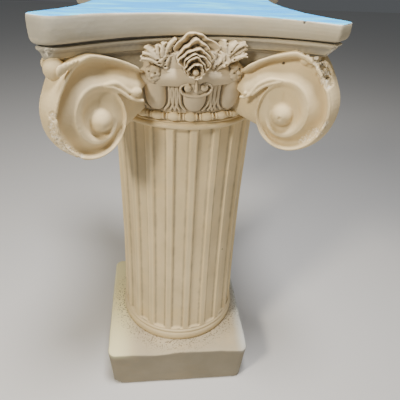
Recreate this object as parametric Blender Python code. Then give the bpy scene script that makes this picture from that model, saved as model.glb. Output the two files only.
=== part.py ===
# Column pedestal of the Ionic order with four diagonal volutes, cast in plaster in three pieces:
# plinth, fluted shaft and capital. Metres, +Z up, origin on the floor under the shaft's axis.
# The front faces -Y.

import math

import bmesh
import bpy
from mathutils import Matrix, Vector

# Driving dimensions
GAP = 0.0003                 # the bedding line between two pieces

PLINTH_HEIGHT = 0.1053
PLINTH_TOP_HALF = 0.1461     # half the width at the top edge
PLINTH_FOOT_HALF = 0.1406    # half the width at the floor
PLINTH_CORNER = 0.016        # rounding of the upright corners
PLINTH_ARRIS = 0.0045        # rounding of the top and bottom edges
PLINTH_SHIFT = (-0.0070, -0.0080)   # the block is bonded a little off the shaft's axis

SHAFT_HEIGHT = 0.4877
SHAFT_FOOT_RADIUS = 0.1192   # over the fillets, where the flutes start
SHAFT_WAIST_RADIUS = 0.1151
SHAFT_HEAD_RADIUS = 0.1185
FOOT_RING_RADIUS = 0.1228
FOOT_RING_HEIGHT = 0.0225
FOOT_RING_TUCK = 0.0025      # how far the foot ring draws in at the joint
FOOT_RING_FALL = 0.003       # and at its top
FOOT_FILLET_HEIGHT = 0.0065  # the thin ring between the foot ring and the flutes
FOOT_FILLET_PROUD = 0.0012
NECK_RING_RADIUS = 0.1240
NECK_RING_HEIGHT = 0.0125
NECK_RING_TUCK = 0.002

FLUTE_COUNT = 20
FLUTE_DEPTH = 0.0062
FLUTE_SHARE = 0.66           # of the pitch, the rest is the flat fillet
FLUTE_END = 0.005            # height over which a flute runs out
FLUTE_TURN = math.radians(3.98)

CAPITAL_HEIGHT = 0.1464
HORN_REACH = 0.1920          # from the axis to the outer face of a horn, along X or Y
HORN_CUT = 0.0370            # width of the face that cuts a horn off
SIDE_MIDDLE = 0.1328         # from the axis to the middle of a concave side
HORN_NOSE = 0.0060           # the cut face's upright edges are worn round by this much
SLAB_THICKNESS = 0.0265
SLAB_ROUND = 0.0028
MOULDING_DEPTH = 0.0180      # the fillet and hollow under the slab
MOULDING_INSET = 0.0080
MOULDING_HORN_INSET = 0.0110   # at the horns the moulding keeps this far in
MOULDING_FALL = 0.0020       # the moulding draws in this much towards its foot
MOULDING_LIP = 0.0030        # and this much at the top, under the slab
HOLLOW_INSET = 0.0150
HOLLOW_HORN_INSET = 0.0190
BED_INSET = 0.0200           # the core that beds the volutes to the slab
BED_HORN_INSET = 0.0520
BED_DEPTH = 0.0120
STEP = 0.0004                # height of the steepest steps in a moulding
TILT = 0.033                 # what hangs under the slab is cast a little out of level, rising with +X
TILT_START = 0.0120          # the tilt starts this far outside the drum
TILT_RUN = 0.0250            # and is full after this much more

DRUM_JOINT_RADIUS = 0.1215
BEAD_COUNT = 32
BEAD_RING_RADIUS = 0.1262
BEAD_RADIUS = 0.0068
REEL_RADIUS = 0.0048
BEAD_RING_RISE = 0.0085      # middle of the bead ring above the joint
EGG_SPACING = math.radians(26.0)
EGG_HALF_ANGLE = math.radians(7.6)
EGG_FOOT = 0.0160            # above the joint
EGG_TOP = 0.0500
EGG_PROUD = 0.0085
DRUM_RADIUS = 0.1235
DRUM_FLARE = 0.0080          # the drum is this much wider at the top of the eggs
HUSK_PROUD = 0.0015          # the husks between the eggs
SWAG_RADIUS = 0.1390         # the smooth band over the eggs
SWAG_STEP = 0.0040           # height of the step from the eggs out to the band
DRUM_LAP = 0.0060            # the drum runs this far up into the moulding
BOLSTER_TOP = 0.0850         # top of the plain body behind a pair of volutes, above the joint

EYE_ALONG = 0.1300           # from the middle of a side to a volute's eye, along the wall
EYE_RISE = 0.0295            # from the drum's joint up to the eye
VOLUTE_DRIFT = 0.0035        # the first turn sits this much towards the horn
VOLUTE_RADIUS = 0.0655       # at the top of the outer turn
TURN_RATIO = 0.54            # radius left after one full turn
VOLUTE_TALL = 1.16           # height against width
VOLUTE_INSET = 0.0015        # from the slab's face back to the volute's lips
CHANNEL_DEPTH = 0.0100
EYE_RADIUS = 0.0160
EYE_PROUD = 0.0060
BAND_SWELL = 0.0015          # the outer band is a little rounded
CANAL_END = 0.040            # where the channel dies into the drum, along the wall
CANAL_DROOP = 0.010          # its upper lip falls this much towards the drum
HUSK_DROOP = 0.019           # and its lower lip, the husk line, this much
CANAL_DIVE = 0.014           # the end of the channel runs this deep into the drum

ROSE_RADIUS = 0.0290
ROSE_RISE = 0.0950           # centre of the rose above the joint
ROSE_PROUD = 0.0300
ROSE_NOD = math.radians(30)  # the rose looks a little down
ROSE_SEAT = 0.1270           # from the axis to the back of the rose
ROSE_PETAL_SHARE = 0.07      # of the radius, how far the petals wave in and out
LEAF_LENGTH = 0.0450
LEAF_WIDTH = 0.0300
LEAF_PROUD = 0.0120
LEAF_LEAN = math.radians(27)
LEAF_SPREAD = 0.0150         # from the rose's middle to the foot of a leaf
LEAF_DROP = 0.0090           # a leaf's foot is this much lower than the rose's middle
LEAF_SINK = 0.0020           # and this deep in the wall
BUD_RADIUS = 0.0145
BUD_RISE = 0.0680            # centre of a bud above the joint
BUD_LIFT = 0.0010            # how far a bud stands off the band
BUD_ANGLE = math.radians(25.0)
HORN_LEAF_RADIUS = 0.0165
HORN_LEAF_OUT = 0.2335       # from the axis to the middle of the curled leaf
BROKEN_CORNER = 0            # the horn leaf at the front right is broken off
FLAT_FACE_ANGLE = math.radians(2.0)   # the capital's facets closer to level than this are one

# Levels and radii that follow
SHAFT_Z = PLINTH_HEIGHT + GAP
CAPITAL_Z = SHAFT_Z + SHAFT_HEIGHT + GAP
TOP_Z = CAPITAL_Z + CAPITAL_HEIGHT
MOULDING_Z = TOP_Z - SLAB_THICKNESS - MOULDING_DEPTH
HORN_START = HORN_REACH - HORN_CUT / math.sqrt(2)
SIDE_SAG = HORN_REACH - SIDE_MIDDLE
SIDE_RADIUS = (HORN_START ** 2 + SIDE_SAG ** 2) / (2 * SIDE_SAG)
SIDE_CENTRE = -SIDE_MIDDLE - SIDE_RADIUS
EYE_Z = CAPITAL_Z + EYE_RISE


def clear_scene():
    for obj in list(bpy.data.objects):
        bpy.data.objects.remove(obj, do_unlink=True)


def plaster(name, colour, roughness):
    material = bpy.data.materials.new(name)
    material.use_nodes = True
    shader = material.node_tree.nodes["Principled BSDF"]
    shader.inputs["Base Color"].default_value = (*colour, 1.0)
    shader.inputs["Roughness"].default_value = roughness
    shader.inputs["Metallic"].default_value = 0.0
    return material


def solid(name, bm, material=None):
    """An object from a closed bmesh, its faces turned outwards."""
    bmesh.ops.triangulate(bm, faces=bm.faces)
    bmesh.ops.recalc_face_normals(bm, faces=bm.faces)
    mesh = bpy.data.meshes.new(name)
    bm.to_mesh(mesh)
    bm.free()
    obj = bpy.data.objects.new(name, mesh)
    bpy.context.scene.collection.objects.link(obj)
    if material:
        mesh.materials.append(material)
        mesh.shade_smooth()
        mesh.set_sharp_from_angle(angle=math.radians(32))
    return obj


def fuse(base, piece):
    """Union a helper shape into the base."""
    piece.hide_render = True
    piece.display_type = "WIRE"
    union = base.modifiers.new(piece.name, "BOOLEAN")
    union.operation = "UNION"
    union.solver = "EXACT"
    union.object = piece


def loft(rings):
    """A bmesh skinned over closed rings of equal length, each end closed by a fan."""
    bm = bmesh.new()
    loops = [[bm.verts.new(point) for point in ring] for ring in rings]
    for low, high in zip(loops, loops[1:]):
        count = len(low)
        for i in range(count):
            j = (i + 1) % count
            bm.faces.new((low[i], low[j], high[j], high[i]))
    for loop in (loops[0], loops[-1]):
        middle = bm.verts.new(sum((vertex.co for vertex in loop), Vector()) / len(loop))
        for i in range(len(loop)):
            bm.faces.new((loop[i], loop[(i + 1) % len(loop)], middle))
    return bm


def quarter_turns(bm, turns=(0, 1, 2, 3)):
    """Repeat what is modelled at the front on the other sides."""
    first = bm.copy()
    bm.clear()
    for turn in turns:
        copy = first.copy()
        bmesh.ops.rotate(copy, matrix=Matrix.Rotation(turn * math.pi / 2, 3, "Z"), verts=copy.verts)
        mesh = bpy.data.meshes.new("turned")
        copy.to_mesh(mesh)
        copy.free()
        bm.from_mesh(mesh)
        bpy.data.meshes.remove(mesh)
    first.free()
    return bm


# Plinth
def rounded_square(half, corner, z, steps=3):
    points = []
    for quarter in range(4):
        middle = math.pi / 4 + quarter * math.pi / 2
        centre = Vector((math.copysign(half - corner, math.cos(middle)),
                         math.copysign(half - corner, math.sin(middle))))
        for i in range(steps + 1):
            angle = quarter * math.pi / 2 + i / steps * math.pi / 2
            points.append(Vector((centre.x + corner * math.cos(angle) + PLINTH_SHIFT[0],
                                  centre.y + corner * math.sin(angle) + PLINTH_SHIFT[1], z)))
    return points


def build_plinth(material):
    rings = []
    for end, half in ((0, PLINTH_FOOT_HALF), (1, PLINTH_TOP_HALF)):
        arcs = [(1 - math.sin(t), 1 - math.cos(t)) for t in (0.0, math.pi / 4, math.pi / 2)]
        if end == 0:
            rings += [rounded_square(half - PLINTH_ARRIS * a, PLINTH_CORNER, PLINTH_ARRIS * b)
                      for a, b in arcs]
        else:
            rings += [rounded_square(half - PLINTH_ARRIS * a, PLINTH_CORNER,
                                     PLINTH_HEIGHT - PLINTH_ARRIS * b) for a, b in reversed(arcs)]
    return solid("plinth", loft(rings), material)


# Shaft
def shaft_radius(share):
    """Radius over the fillets: a curve through foot, waist and head."""
    foot = SHAFT_FOOT_RADIUS * (1 - share) * (1 - 2 * share)
    waist = SHAFT_WAIST_RADIUS * 4 * share * (1 - share)
    return foot + waist + SHAFT_HEAD_RADIUS * share * (2 * share - 1)


def fluted_ring(radius, z, depth):
    """One level of the shaft: in each pitch two points on the fillet, three down in the flute."""
    pitch = 2 * math.pi / FLUTE_COUNT
    half_flute = pitch * FLUTE_SHARE / 2
    ring = []
    for k in range(FLUTE_COUNT):
        middle = -math.pi / 2 + FLUTE_TURN + (k + 0.5) * pitch
        for across, drop in ((-1.0, 0.0), (-0.5, 0.86), (0.5, 0.86), (1.0, 0.0)):
            r = radius - depth * drop
            angle = middle + across * half_flute
            ring.append(Vector((r * math.cos(angle), r * math.sin(angle), z)))
    return ring


def build_shaft(material):
    base = SHAFT_Z
    head = base + SHAFT_HEIGHT
    start = base + FOOT_RING_HEIGHT + FOOT_FILLET_HEIGHT
    stop = head - NECK_RING_HEIGHT
    foot_ring = [(FOOT_RING_RADIUS - FOOT_RING_TUCK, 0.0), (FOOT_RING_RADIUS, 0.3),
                 (FOOT_RING_RADIUS - FOOT_RING_FALL, 1.0)]
    rings = [fluted_ring(r, base + FOOT_RING_HEIGHT * share, 0.0) for r, share in foot_ring]
    rings.append(fluted_ring(SHAFT_FOOT_RADIUS + FOOT_FILLET_PROUD, start, 0.0))
    rings.append(fluted_ring(SHAFT_FOOT_RADIUS, start + FLUTE_END, FLUTE_DEPTH))
    rings.append(fluted_ring(shaft_radius(0.5), (start + stop) / 2, FLUTE_DEPTH))
    rings.append(fluted_ring(SHAFT_HEAD_RADIUS, stop - FLUTE_END, FLUTE_DEPTH))
    rings.append(fluted_ring(SHAFT_HEAD_RADIUS, stop - STEP, 0.0))
    rings.append(fluted_ring(NECK_RING_RADIUS, stop, 0.0))
    rings.append(fluted_ring(NECK_RING_RADIUS - NECK_RING_TUCK, head, 0.0))
    return solid("shaft", loft(rings), material)


# Capital
def wall_point(along, z, depth=0.0):
    """A point on the front's concave wall, by its distance along the wall from the middle."""
    radius = SIDE_RADIUS + VOLUTE_INSET
    angle = along / radius
    return Vector(((radius + depth) * math.sin(angle),
                   SIDE_CENTRE + (radius + depth) * math.cos(angle), z))


def slab_outline(inset, horn_inset, z, steps=8):
    """Four concave sides with the horns cut off, drawn in from the slab's face by the insets."""
    radius = SIDE_RADIUS + inset
    root = math.sqrt(2)
    cut = (HORN_START + HORN_REACH) / root - horn_inset
    end = math.pi / 4 + math.asin((root * (cut - HORN_NOSE) + SIDE_CENTRE) / (root * radius))
    last = Vector((radius * math.sin(end), SIDE_CENTRE + radius * math.cos(end)))
    half_cut = max(0.001, -(last.x + last.y) / root - HORN_NOSE)
    points = []
    for side in range(4):
        turn = Matrix.Rotation(side * math.pi / 2, 3, "Z")
        for i in range(steps + 1):
            angle = end * (2 * i / steps - 1)
            points.append(turn @ Vector((radius * math.sin(angle), SIDE_CENTRE + radius * math.cos(angle), z)))
        for across in (-half_cut, half_cut):
            points.append(turn @ Vector(((cut + across) / root, (across - cut) / root, z)))
    return points


def build_abacus():
    under = TOP_Z - SLAB_THICKNESS
    draft = BED_INSET * 0.05
    levels = [(BED_INSET, BED_HORN_INSET, MOULDING_Z - BED_DEPTH),
              (BED_INSET - draft, BED_HORN_INSET - 2 * draft, MOULDING_Z - STEP * 1.25),
              (HOLLOW_INSET, HOLLOW_HORN_INSET, MOULDING_Z),
              (MOULDING_INSET + MOULDING_FALL, MOULDING_HORN_INSET + MOULDING_FALL,
               MOULDING_Z + MOULDING_DEPTH * 0.45),
              (MOULDING_INSET, MOULDING_HORN_INSET, under - MOULDING_DEPTH * 0.15),
              (MOULDING_INSET + MOULDING_LIP, MOULDING_HORN_INSET + MOULDING_LIP, under - STEP),
              (0.0, 0.0, under),
              (0.0, 0.0, TOP_Z - SLAB_ROUND),
              (SLAB_ROUND, SLAB_ROUND, TOP_Z)]
    return loft([slab_outline(*level) for level in levels])


def spiral(turn):
    """Radius of a volute's lip after so many full turns from the top."""
    return VOLUTE_RADIUS * TURN_RATIO ** turn


def spiral_point(turn, radius):
    """Place on the wall, as (along, z offset from the eye), at the right horn."""
    angle = turn * 2 * math.pi
    drift = VOLUTE_DRIFT * max(0.0, 1 - turn / 2)
    return (EYE_ALONG + drift + radius * math.sin(angle), VOLUTE_TALL * radius * math.cos(angle))


def volute_face(columns):
    """Grid of wall places and depths: canal columns, then two turns of the spiral."""
    across = ((0.0, 0.0), (0.10, 0.20), (0.32, 1.0), (1.0, 0.0))
    grid = []
    top = (spiral_point(0, spiral(0))[1], spiral_point(1, spiral(1))[1])
    for share in (1.0, 0.66, 0.33):
        start = EYE_ALONG
        along = start + (CANAL_END - start) * share
        high = top[0] - CANAL_DROOP * share ** 2
        low = top[1] - HUSK_DROOP * share ** 3
        dive = CANAL_DIVE if share == 1.0 else 0.0
        grid.append([(along, EYE_Z + high + (low - high) * u, dive + CHANNEL_DEPTH * d * (1 - 0.5 * share))
                     for u, d in across])
    for j in range(2 * columns + 1):
        turn = j / columns
        outer = spiral(turn)
        inner = max(spiral(turn + 1), EYE_RADIUS)
        row = []
        for u, d in across:
            a = spiral_point(turn, outer)
            b = spiral_point(turn + 1, inner)
            row.append((a[0] + (b[0] - a[0]) * u, EYE_Z + a[1] + (b[1] - a[1]) * u,
                        CHANNEL_DEPTH * d * (1 - 0.25 * turn)))
        grid.append(row)
    return grid


def build_corner(columns=18):
    """The pair of volutes at the front right horn and the outer band between them."""
    bm = bmesh.new()
    grid = volute_face(columns)
    canal = 3
    inner_lip = len(grid[0]) - 1
    made = {}

    def vertex(mirrored, i, k):
        # the inner lip of one turn is the outer lip of the next
        if k == inner_lip and i + columns < len(grid) and i >= canal:
            return vertex(mirrored, i + columns, 0)
        key = (mirrored, i, k)
        if key not in made:
            point = wall_point(*grid[i][k])
            if mirrored:
                point = Vector((-point.y, -point.x, point.z))
            made[key] = bm.verts.new(point)
        return made[key]

    last = len(grid) - 1
    for mirrored in (False, True):
        for i in range(last):
            for k in range(inner_lip):
                corners = [vertex(mirrored, i, k), vertex(mirrored, i + 1, k),
                           vertex(mirrored, i + 1, k + 1), vertex(mirrored, i, k + 1)]
                unique = list(dict.fromkeys(corners))
                if len(unique) > 2:
                    bm.faces.new(unique)
        # the eye: the last turn's inner edge, closed by a dome
        rim = [vertex(mirrored, i, inner_lip) for i in range(last - columns, last)]
        centre_along = EYE_ALONG
        ring = []
        for j in range(columns):
            angle = j / columns * 2 * math.pi
            along = centre_along + EYE_RADIUS * 0.62 * math.sin(angle)
            z = EYE_Z + EYE_RADIUS * 0.62 * VOLUTE_TALL * math.cos(angle)
            point = wall_point(along, z, -EYE_PROUD * 0.75)
            ring.append(bm.verts.new(Vector((-point.y, -point.x, point.z)) if mirrored else point))
        point = wall_point(centre_along, EYE_Z, -EYE_PROUD)
        apex = bm.verts.new(Vector((-point.y, -point.x, point.z)) if mirrored else point)
        rim.append(vertex(mirrored, last, inner_lip))
        for j in range(columns):
            bm.faces.new((rim[j], rim[j + 1], ring[(j + 1) % columns], ring[j]))
            bm.faces.new((ring[j], ring[(j + 1) % columns], apex))
    # boundary: along the outer lip, back along the canal's lower edge, up its end
    path = [(i, 0) for i in range(canal + columns + 1)]
    path += [(i, inner_lip) for i in range(canal - 1, -1, -1)]
    path += [(0, k) for k in range(inner_lip - 1, 0, -1)]
    count = len(path)
    front = [vertex(False, i, k) for i, k in path]
    back = [vertex(True, i, k) for i, k in path]
    axis = Vector((1, -1, 0)).normalized()
    mids = []
    for f, b in zip(front, back):
        for_front = f.co.lerp(b.co, 0.25)
        for_back = f.co.lerp(b.co, 0.75)
        centre = axis * (EYE_ALONG * 1.56) + Vector((0, 0, EYE_Z))
        swell = (f.co.lerp(b.co, 0.5) - centre).normalized() * BAND_SWELL
        mids.append((bm.verts.new(for_front + swell), bm.verts.new(for_back + swell)))
    for i in range(count):
        j = (i + 1) % count
        bm.faces.new((front[i], front[j], mids[j][0], mids[i][0]))
        bm.faces.new((mids[i][0], mids[j][0], mids[j][1], mids[i][1]))
        bm.faces.new((mids[i][1], mids[j][1], back[j], back[i]))
    open_edges = [e for e in bm.edges if e.is_boundary]
    bmesh.ops.holes_fill(bm, edges=open_edges, sides=0)
    return bm


def build_corners():
    return solid("volutes", quarter_turns(build_corner()))


def build_bolsters():
    """The plain body behind each pair of volutes, running back into the drum."""
    stations = ((0.095, 0.030, 0.0065), (0.130, 0.031, 0.0035), (0.162, 0.037, -0.004), (0.195, 0.022, -0.014))
    rings = []
    for out, half, low in stations:
        bottom = CAPITAL_Z + low
        top = CAPITAL_Z + BOLSTER_TOP
        middle = Vector((out, -out, 0)) / math.sqrt(2)
        across = Vector((1, 1, 0)).normalized()
        ring = []
        for share, rise in ((-0.80, 0.0), (0.80, 0.0), (1.0, 0.10), (1.0, 1.0), (-1.0, 1.0), (-1.0, 0.10)):
            ring.append(middle + across * (half * share) + Vector((0, 0, bottom + (top - bottom) * rise)))
        rings.append(ring)
    return solid("bolsters", quarter_turns(loft(rings)))


def drum_radius(angle, rise):
    """Radius of the echinus at an angle from a side's middle: eggs, husks between them, a swag above."""
    share = (rise - EGG_FOOT) / (EGG_TOP - EGG_FOOT)
    radius = DRUM_RADIUS + DRUM_FLARE * min(max(share, 0.0), 1.0)
    if 0.0 < share < 1.0:
        nearest = max((-1, 0, 1), key=lambda k: -abs(angle - k * EGG_SPACING))
        off = abs(angle - nearest * EGG_SPACING) / EGG_HALF_ANGLE
        if off < 1.0:
            radius += EGG_PROUD * math.sqrt(1 - off ** 2) * math.sin(math.pi * (0.12 + 0.80 * share))
        else:
            radius += HUSK_PROUD
    return radius


def build_drum():
    """Bead ring and echinus, in one turned and carved body."""
    half = EGG_HALF_ANGLE
    columns = []
    for k in (-1, 0, 1):
        columns += [k * EGG_SPACING + half * f for f in (-1.0, -0.72, 0.0, 0.72, 1.0)]
        if k < 1:
            columns.append((k + 0.5) * EGG_SPACING)
    columns += [math.pi / 4]
    rises = (0.0, EGG_FOOT - 0.001, EGG_FOOT + 0.006, EGG_FOOT + 0.016, EGG_TOP - 0.008, EGG_TOP)
    top = MOULDING_Z - CAPITAL_Z + DRUM_LAP
    rings = []
    for rise in rises + (EGG_TOP + SWAG_STEP, top):
        ring = []
        for side in range(4):
            for column in columns:
                if rise == 0.0:
                    radius = DRUM_JOINT_RADIUS - 0.002
                elif rise > EGG_TOP:
                    radius = SWAG_RADIUS
                else:
                    radius = drum_radius(column, rise)
                angle = side * math.pi / 2 - math.pi / 2 + column
                ring.append(Vector((radius * math.cos(angle), radius * math.sin(angle), CAPITAL_Z + rise)))
        rings.append(ring)
    return solid("drum", loft(rings))


def build_beads():
    """The bead ring: long beads and reels in turn, around the foot of the drum."""
    rings = []
    for share in (-1.0, 0.0, 1.0):
        ring = []
        for k in range(BEAD_COUNT):
            for part, size in ((-0.30, BEAD_RADIUS), (0.30, BEAD_RADIUS), (0.5, REEL_RADIUS)):
                radius = BEAD_RING_RADIUS - BEAD_RADIUS + size * (1 - abs(share))
                angle = (k + part) * 2 * math.pi / BEAD_COUNT - math.pi / 2
                rise = BEAD_RING_RISE + share * size * 1.1
                ring.append(Vector((radius * math.cos(angle), radius * math.sin(angle), CAPITAL_Z + rise)))
        rings.append(ring)
    return solid("beads", loft(rings))


def turned(profile, columns, lobes=0, lobe_depth=0.0):
    """A closed body around its own +Z from (radius, height) pairs, the last at the tip."""
    bm = bmesh.new()
    loops = []
    for step, (radius, height) in enumerate(profile[:-1]):
        loop = []
        for i in range(columns):
            angle = 2 * math.pi * i / columns
            wave = 1 + lobe_depth * math.cos(lobes * angle + step * math.pi / 2)
            loop.append(bm.verts.new((radius * wave * math.cos(angle), radius * wave * math.sin(angle), height)))
        loops.append(loop)
    tip = bm.verts.new((0, 0, profile[-1][1]))
    for low, high in zip(loops, loops[1:]):
        for i in range(columns):
            j = (i + 1) % columns
            bm.faces.new((low[i], low[j], high[j], high[i]))
    for i in range(columns):
        bm.faces.new((loops[-1][i], loops[-1][(i + 1) % columns], tip))
    bm.faces.new(list(reversed(loops[0])))
    return bm


def place(bm, matrix):
    bmesh.ops.transform(bm, matrix=matrix, verts=bm.verts)
    return bm


def facing(origin, outward, nod=0.0):
    """Turn a body's own +Z outwards from the axis and seat it at the origin given."""
    frame = outward.to_track_quat("Z", "Y").to_matrix().to_4x4()
    side = Vector((-outward.y, outward.x, 0)).normalized()
    return Matrix.Translation(origin) @ Matrix.Rotation(nod, 4, side) @ frame


def build_roses():
    shares = ((0.90, -0.10), (1.00, 0.20), (0.94, 0.42), (0.66, 0.36), (0.68, 0.66), (0.56, 0.78),
              (0.34, 0.70), (0.34, 0.92), (0.0, 1.0))
    profile = [(ROSE_RADIUS * a, ROSE_PROUD * b) for a, b in shares]
    bm = turned(profile, 10, lobes=5, lobe_depth=ROSE_PETAL_SHARE)
    seat = Vector((0, -ROSE_SEAT, CAPITAL_Z + ROSE_RISE))
    return solid("roses", quarter_turns(place(bm, facing(seat, Vector((0, -1, 0)), ROSE_NOD))))


def leaf_blade():
    """A serrated leaf, its foot at the origin, growing along +X and bulging to +Z."""
    bm = bmesh.new()
    teeth = 3
    edge = []
    for side in (1, -1):
        points = []
        for i in range(2 * teeth):
            share = (i + 0.5) / (2 * teeth)
            width = LEAF_WIDTH / 2 * math.sin(math.pi * (0.12 + 0.80 * share)) * (1.0 if i % 2 else 0.76)
            points.append((LEAF_LENGTH * share, side * width, LEAF_PROUD * (0.45 if i % 2 else 0.25)))
        edge.append(points)
    rim = [(0.0, 0.0, 0.0)] + edge[1] + [(LEAF_LENGTH, 0.0, LEAF_PROUD * 0.3)] + list(reversed(edge[0]))
    low = [bm.verts.new((x, y, -1.6 * LEAF_PROUD)) for x, y, z in rim]
    high = [bm.verts.new(point) for point in rim]
    vein = [bm.verts.new((LEAF_LENGTH * share, 0.0, LEAF_PROUD * rise))
            for share, rise in ((0.2, 0.9), (0.55, 1.1), (0.85, 0.7))]
    count = len(rim)
    for i in range(count):
        j = (i + 1) % count
        bm.faces.new((low[i], low[j], high[j], high[i]))
    bm.faces.new(list(reversed(low)))
    half = count // 2
    for start, stop in ((0, half), (half, count)):
        for i in range(start, stop):
            j = (i + 1) % count
            share = (high[i].co.x + high[j].co.x) / 2 / LEAF_LENGTH
            bm.faces.new((high[i], high[j], vein[0 if share < 0.37 else 1 if share < 0.7 else 2]))
    bmesh.ops.holes_fill(bm, edges=[e for e in bm.edges if e.is_boundary], sides=0)
    return bm


def build_leaves(side):
    bm = leaf_blade()
    lean = Matrix.Rotation(LEAF_LEAN, 4, "Z")
    bmesh.ops.transform(bm, matrix=lean, verts=bm.verts)
    if side < 0:
        bmesh.ops.transform(bm, matrix=Matrix.Scale(-1, 4, (1, 0, 0)), verts=bm.verts)
    upright = Matrix.Rotation(math.radians(97), 4, "X")
    seat = Vector((side * LEAF_SPREAD, -SIDE_MIDDLE + LEAF_SINK, CAPITAL_Z + ROSE_RISE - LEAF_DROP))
    place(bm, Matrix.Translation(seat) @ Matrix.Rotation(-side * math.radians(9), 4, "Z") @ upright)
    return solid("leaves_right" if side > 0 else "leaves_left", quarter_turns(bm))


def build_buds():
    """The small flowers where each channel dies into the drum."""
    profile = [(BUD_RADIUS * a, BUD_RADIUS * b) for a, b in ((0.9, -0.6), (1.0, 0.1), (0.72, 0.65), (0.0, 0.9))]
    bm = bmesh.new()
    for side in (-1, 1):
        angle = -math.pi / 2 + side * BUD_ANGLE
        outward = Vector((math.cos(angle), math.sin(angle), 0))
        one = turned(profile, 6)
        place(one, facing(outward * (SWAG_RADIUS + BUD_LIFT) + Vector((0, 0, CAPITAL_Z + BUD_RISE)), outward))
        mesh = bpy.data.meshes.new("bud")
        one.to_mesh(mesh)
        one.free()
        bm.from_mesh(mesh)
        bpy.data.meshes.remove(mesh)
    return solid("buds", quarter_turns(bm))


def build_horn_leaves():
    """The ribbed leaf that curls over under each horn; one is broken off."""
    out = Vector((1, -1, 0)).normalized()
    r = HORN_LEAF_RADIUS
    bm = turned([(r * math.cos(t), r * 0.8 * math.sin(t)) for t in (-1.2, -0.5, 0.1, 0.7, 1.2)] + [(0.0, r * 0.8)],
                12, lobes=6, lobe_depth=0.05)
    place(bm, facing(out * HORN_LEAF_OUT + Vector((0, 0, MOULDING_Z - r * 0.85)), out))
    return solid("horn_leaves", quarter_turns(bm, [turn for turn in range(4) if turn != BROKEN_CORNER]))


def settle(piece):
    """Tilt what hangs under the slab; the slab's top and the joint below stay level."""
    for vertex in piece.data.vertices:
        x, y, z = vertex.co
        below_top = min(1.0, (TOP_Z - z) / SLAB_THICKNESS)
        above_joint = (z - CAPITAL_Z - EGG_FOOT) / (EGG_TOP - EGG_FOOT)
        outside = (math.hypot(x, y) - DRUM_RADIUS - TILT_START) / TILT_RUN
        share = below_top * min(1.0, max(0.0, above_joint, outside))
        vertex.co.z = z + TILT * x * share
    return piece


def main():
    clear_scene()
    cream = (0.62, 0.56, 0.46)
    build_plinth(plaster("plinth plaster", (0.60, 0.55, 0.44), 0.9))
    build_shaft(plaster("shaft plaster", cream, 0.85))
    capital = settle(solid("capital", build_abacus(), plaster("capital plaster", cream, 0.8)))
    pieces = [build_drum(), build_bolsters(), build_corners(), build_beads(), build_horn_leaves(), build_buds(),
              build_leaves(-1), build_leaves(1), build_roses()]
    for piece in pieces:
        fuse(capital, settle(piece))
    flat = capital.modifiers.new("flat faces", "DECIMATE")
    flat.decimate_type = "DISSOLVE"
    flat.angle_limit = FLAT_FACE_ANGLE


main()
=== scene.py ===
# Column pedestal of cast plaster: square plinth, fluted shaft, and an Ionic capital with four
# diagonal volutes under a hollow-sided slab. Metres, +Z up, the photographed side faces -Y.
import math

import bmesh
import bpy
import numpy as np
from mathutils import Matrix, Vector


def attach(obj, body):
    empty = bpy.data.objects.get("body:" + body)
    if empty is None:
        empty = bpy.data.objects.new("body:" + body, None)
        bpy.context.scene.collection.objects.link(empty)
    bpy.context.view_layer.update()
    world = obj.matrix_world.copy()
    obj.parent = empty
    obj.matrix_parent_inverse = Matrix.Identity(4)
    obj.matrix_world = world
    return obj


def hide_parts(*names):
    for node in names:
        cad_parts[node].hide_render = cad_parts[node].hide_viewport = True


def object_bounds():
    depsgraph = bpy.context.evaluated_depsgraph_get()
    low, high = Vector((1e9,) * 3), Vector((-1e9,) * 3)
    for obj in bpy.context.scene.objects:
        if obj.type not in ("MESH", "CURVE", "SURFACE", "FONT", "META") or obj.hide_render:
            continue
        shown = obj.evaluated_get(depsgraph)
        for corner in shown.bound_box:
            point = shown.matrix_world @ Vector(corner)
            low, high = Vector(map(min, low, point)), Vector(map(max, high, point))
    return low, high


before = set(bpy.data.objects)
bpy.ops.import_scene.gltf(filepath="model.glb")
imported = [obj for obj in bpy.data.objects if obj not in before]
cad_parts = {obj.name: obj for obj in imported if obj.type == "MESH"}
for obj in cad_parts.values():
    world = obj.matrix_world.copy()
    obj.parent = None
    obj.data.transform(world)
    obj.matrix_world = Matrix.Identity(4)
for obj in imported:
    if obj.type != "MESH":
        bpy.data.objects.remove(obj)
cad_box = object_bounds()

# Sizes shared with the solids
PLINTH_HEIGHT = 0.1053
PLINTH_TOP_HALF = 0.1461
PLINTH_FOOT_HALF = 0.1406
PLINTH_CORNER = 0.016
PLINTH_ARRIS = 0.0055
PLINTH_SHIFT = (-0.0070, -0.0080)
SHAFT_Z = 0.1056
SHAFT_HEIGHT = 0.4877
SHAFT_FOOT_RADIUS = 0.1192
SHAFT_WAIST_RADIUS = 0.1151
SHAFT_HEAD_RADIUS = 0.1185
FOOT_RING_HEIGHT = 0.0225
FOOT_FILLET_HEIGHT = 0.0065
NECK_RING_HEIGHT = 0.0125
FLUTE_COUNT = 20
FLUTE_DEPTH = 0.0060
FLUTE_END = 0.0060
FLUTE_SHARE = 0.70
FLUTE_TURN = math.radians(3.98)
CAPITAL_Z = 0.5936
TOP_Z = 0.7400
HORN_REACH = 0.1920
HORN_CUT = 0.0370
SIDE_MIDDLE = 0.1328
SLAB_THICKNESS = 0.0265
MOULDING_Z = 0.6955
SLAB_LIP_Z = TOP_Z - 0.0285     # where the moulding meets the slab's lip
TILT = 0.033
HORN_START = HORN_REACH - HORN_CUT / math.sqrt(2)
SIDE_SAG = HORN_REACH - SIDE_MIDDLE
SIDE_RADIUS = (HORN_START ** 2 + SIDE_SAG ** 2) / (2 * SIDE_SAG)
SIDE_CENTRE = -SIDE_MIDDLE - SIDE_RADIUS

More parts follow.
